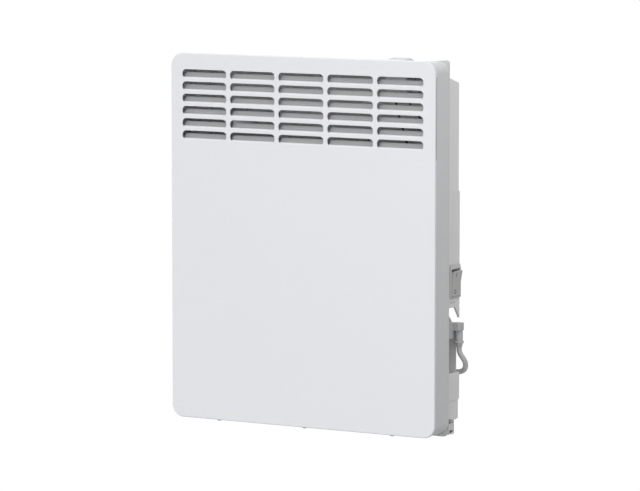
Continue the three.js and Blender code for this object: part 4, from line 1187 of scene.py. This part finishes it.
def screw(head, height, shank, length):
    """A screw with a cross recess: its head hangs down from the origin and its shank stands up from it."""
    turns = [math.pi / 2 * step / 6 for step in range(7)]
    crown = [(head * (0.5 + 0.5 * math.sin(t)), -height * (0.45 + 0.55 * math.cos(t))) for t in turns]
    profile = [(0, -height), *crown, (head, 0), (shank, 0), (shank, length - 1), (0, length)]
    made = turned("screw", profile, 28)
    reach, arm = head * 0.58, head * 0.15
    outline = []
    for c, s in ((1, 0), (0, 1), (-1, 0), (0, -1)):
        outline += [(c * u - s * v, s * u + c * v) for u, v in ((reach, -arm), (reach, arm), (arm, arm))]
    start, depth = -height - 1, height / 2 + 1
    cut_by(made, plate("recess", outline, [], lambda u, v, w: Vector((u, v, start + w)) * MM, depth))
    return made


def set_screws(name, nodes, made, foot):
    """Copies of that screw in place of the nodes, its head's underside at foot(low, high) of each box."""
    points = [foot(*map(Vector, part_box(node))) for node in nodes]
    grown = COPIES.grow(mesh_object(name, points, []), copy=made, size=1.0, finish=STEEL)
    bpy.data.objects.remove(made)
    piece(smoothed(grown, 35), STEEL, "heater", "steel", *nodes)
    print(f"{name}: {len(grown.data.polygons)} faces")


def upright_foot(low, high):
    """The foot of a bottom screw, in whose box the shank ends at the top."""
    return Vector(((low.x + high.x) / 2, (low.y + high.y) / 2, high.z - BOTTOM_SCREW["length"] * MM))


def level_foot(low, high):
    """The foot of a back plate screw, in whose box the head is at the back."""
    return Vector(((low.x + high.x) / 2, high.y - PLATE_SCREW["height"] * MM, (low.z + high.z) / 2))


set_screws("casing_screws", [f"casing_screw_{i}" for i in (1, 2, 3)], screw(**BOTTOM_SCREW), upright_foot)
plate_screws = [f"back_plate_screw_{i}" for i in range(1, 7)]
low, high = map(Vector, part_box(plate_screws[0]))
plate_screw = screw(**PLATE_SCREW, length=(high.y - low.y) / MM - PLATE_SCREW["height"])
plate_screw.data.transform(Matrix.Rotation(math.pi / 2, 4, "X"))
set_screws("back_plate_screws", plate_screws, plate_screw, level_foot)

# %% The dial's pointer and dots
DIAL_CENTRE, DIAL_TOP, DIAL_START, DIAL_STEP, DOTS = (125.5, 21), 451.0, 225, 30, 10
POINTER = ((5, -0.8), (12.4, 0.8))
DOT_RADIUS, DOT_RING, DOT_PROUD = 0.42, 15.75, 0.04
SUNK, PROUD = 0.15, 0.05


def on_dial(along, beside, up, degrees=DIAL_START):
    """A place on the dial: along its pointer, beside it, and up, where the pointer stands at that angle."""
    turn = math.radians(degrees)
    x, y = along * math.cos(turn) - beside * math.sin(turn), along * math.sin(turn) + beside * math.cos(turn)
    return at(DIAL_CENTRE[0] + x, DIAL_CENTRE[1] + y, up)


def on_disc(u, v, w):
    """A place in the pointer, from its sunk side up."""
    return on_dial(u, v, DIAL_TOP - SUNK + w)


pointer = plate("dial_pointer", rounded(*POINTER, 0.5, 4), [], on_disc, SUNK + PROUD)
piece(smoothed(pointer, 30, weighted=False), MARK_INK, "dial", "dark_plastic")
bezel_top = max(v.co.z for v in bpy.data.objects["dial_bezel_dressed"].data.vertices)
dot = turned("dot", [(0, -SUNK), (DOT_RADIUS, -SUNK), (DOT_RADIUS, DOT_PROUD), (0, DOT_PROUD)], 16)
places = [on_dial(DOT_RING, 0, 0, DIAL_START - DIAL_STEP * step) for step in range(DOTS)]
dots = mesh_object("dial_dots", [(p.x, p.y, bezel_top) for p in places], [])
dots = COPIES.grow(dots, copy=dot, size=1.0, finish=MARK_INK)
bpy.data.objects.remove(dot)
piece(smoothed(dots, 30, weighted=False), MARK_INK, "heater", "dark_plastic")
print("dial: a pointer and", len(places), "dots")

# %% Nodes that keep their own mesh
WIRES = (
    "terminal_to_switch", "switch_to_thermostat", "thermostat_to_cutout", "cutout_to_element",
    "element_to_terminal",
)
KEPT = {f"wire_{name}": WIRE_SHEATH for name in WIRES}
KEPT |= {f"ceramic_insulator_{side}": CERAMIC for side in ("left", "right")}
KEPT |= {"sensor_capillary": STEEL, "earth_wire": EARTH_SHEATH}
for name, material in KEPT.items():
    for place in NODES[name].material_slots:
        place.material = material
print("kept as they are:", len(KEPT))

# %% [markdown]
# ## Light, floor and backdrop
#
# The picture is lit evenly on white, and its tones say from where: the front is bright and even, and the
# right-hand side is a good deal darker and fades downwards. So the world gives most of the light, much
# stronger from the left and in front than from the right and behind. A big soft lamp hangs weakly overhead,
# and a small one near the right-hand side gives it its fading. The world shows as plain white to the camera,
# to gloss and to glass only, so that the white behind the heater doesn't wash it out.

# %% World and lamps
world = bpy.data.worlds.new("studio")
world.use_nodes = True
bpy.context.scene.world = world
sky = Graph(world.node_tree)
for old in list(sky.tree.nodes):
    sky.tree.nodes.remove(old)
rays = sky.node("ShaderNodeLightPath")
white = (rays.twin("Is Camera Ray") + rays.twin("Is Glossy Ray") + rays.twin("Is Transmission Ray")).clipped()
SKY_LEVEL, SKY_LEAN = 0.8, (-0.68, -0.66, 0.0)
towards = sky.node("ShaderNodeTexCoord", out="Generated")
lean = sky.node("ShaderNodeVectorMath", {"operation": "DOT_PRODUCT"}, {0: towards, 1: SKY_LEAN}, out="Value")
soft = sky.node("ShaderNodeMath", {"operation": "MAXIMUM"}, {0: lean + SKY_LEVEL, 1: 0.0})
strength = white * (1 - soft) + soft
glow = sky.node("ShaderNodeBackground", None, {"Color": (1, 1, 1, 1), "Strength": strength})
sky.node("ShaderNodeOutputWorld", None, {"Surface": glow})


def lamp(name, towards, distance, size, level):
    """A square soft lamp that lights a surface square to it as much as a white world of that strength."""
    data = bpy.data.lights.new(name, "AREA")
    data.shape, data.size = "SQUARE", size
    data.energy = level * math.pi**2 * distance**2
    made = bpy.data.objects.new(name, data)
    made.location = AIM + distance * Vector(towards).normalized()
    made.rotation_euler = (AIM - made.location).to_track_quat("-Z", "Y").to_euler()
    bpy.context.scene.collection.objects.link(made)
    return made


overhead = lamp("overhead", (-0.3, -0.5, 0.8), 5.0, 2.6, 0.1)
beside = lamp("beside", (0.85, -0.2, 0.6), 1.0, 0.5, 0.2)
print("lamps:", round(overhead.data.energy, 1), "W and", round(beside.data.energy, 1), "W")

# %% The floor
def floor_finish():
    """A pale floor that is white to the camera where it is lit, and keeps the heater's shadow."""
    paint = Finish("studio floor", Roughness=0.9)
    path = paint.node("ShaderNodeLightPath", out="Is Camera Ray")
    paint.feed("Base Color", paint.blend(path, (0.5, 0.5, 0.5), (0.9, 0.9, 0.9)))
    shade = paint.node("ShaderNodeEmission", None, {"Color": (1, 1, 1, 1), "Strength": 1.04})
    mixed = paint.node("ShaderNodeMixShader", None, {0: path * 0.9, 2: shade})
    paint.tree.links.new(paint.shader.outputs[0], mixed.socket.node.inputs[1])
    paint.tree.links.new(mixed.socket, paint.tree.nodes["Material Output"].inputs["Surface"])
    return paint.material


FLOOR_DROP = 0.3
level = CAD_BOX[0][2] - FLOOR_DROP
corners = [(-20, -20, level), (20, -20, level), (20, 40, level), (-20, 40, level)]
floor = mesh_object("floor", corners, [[0, 1, 2, 3]])
floor.data.materials.append(floor_finish())

# %% Last settings
bpy.context.scene.view_settings.view_transform = "Standard"
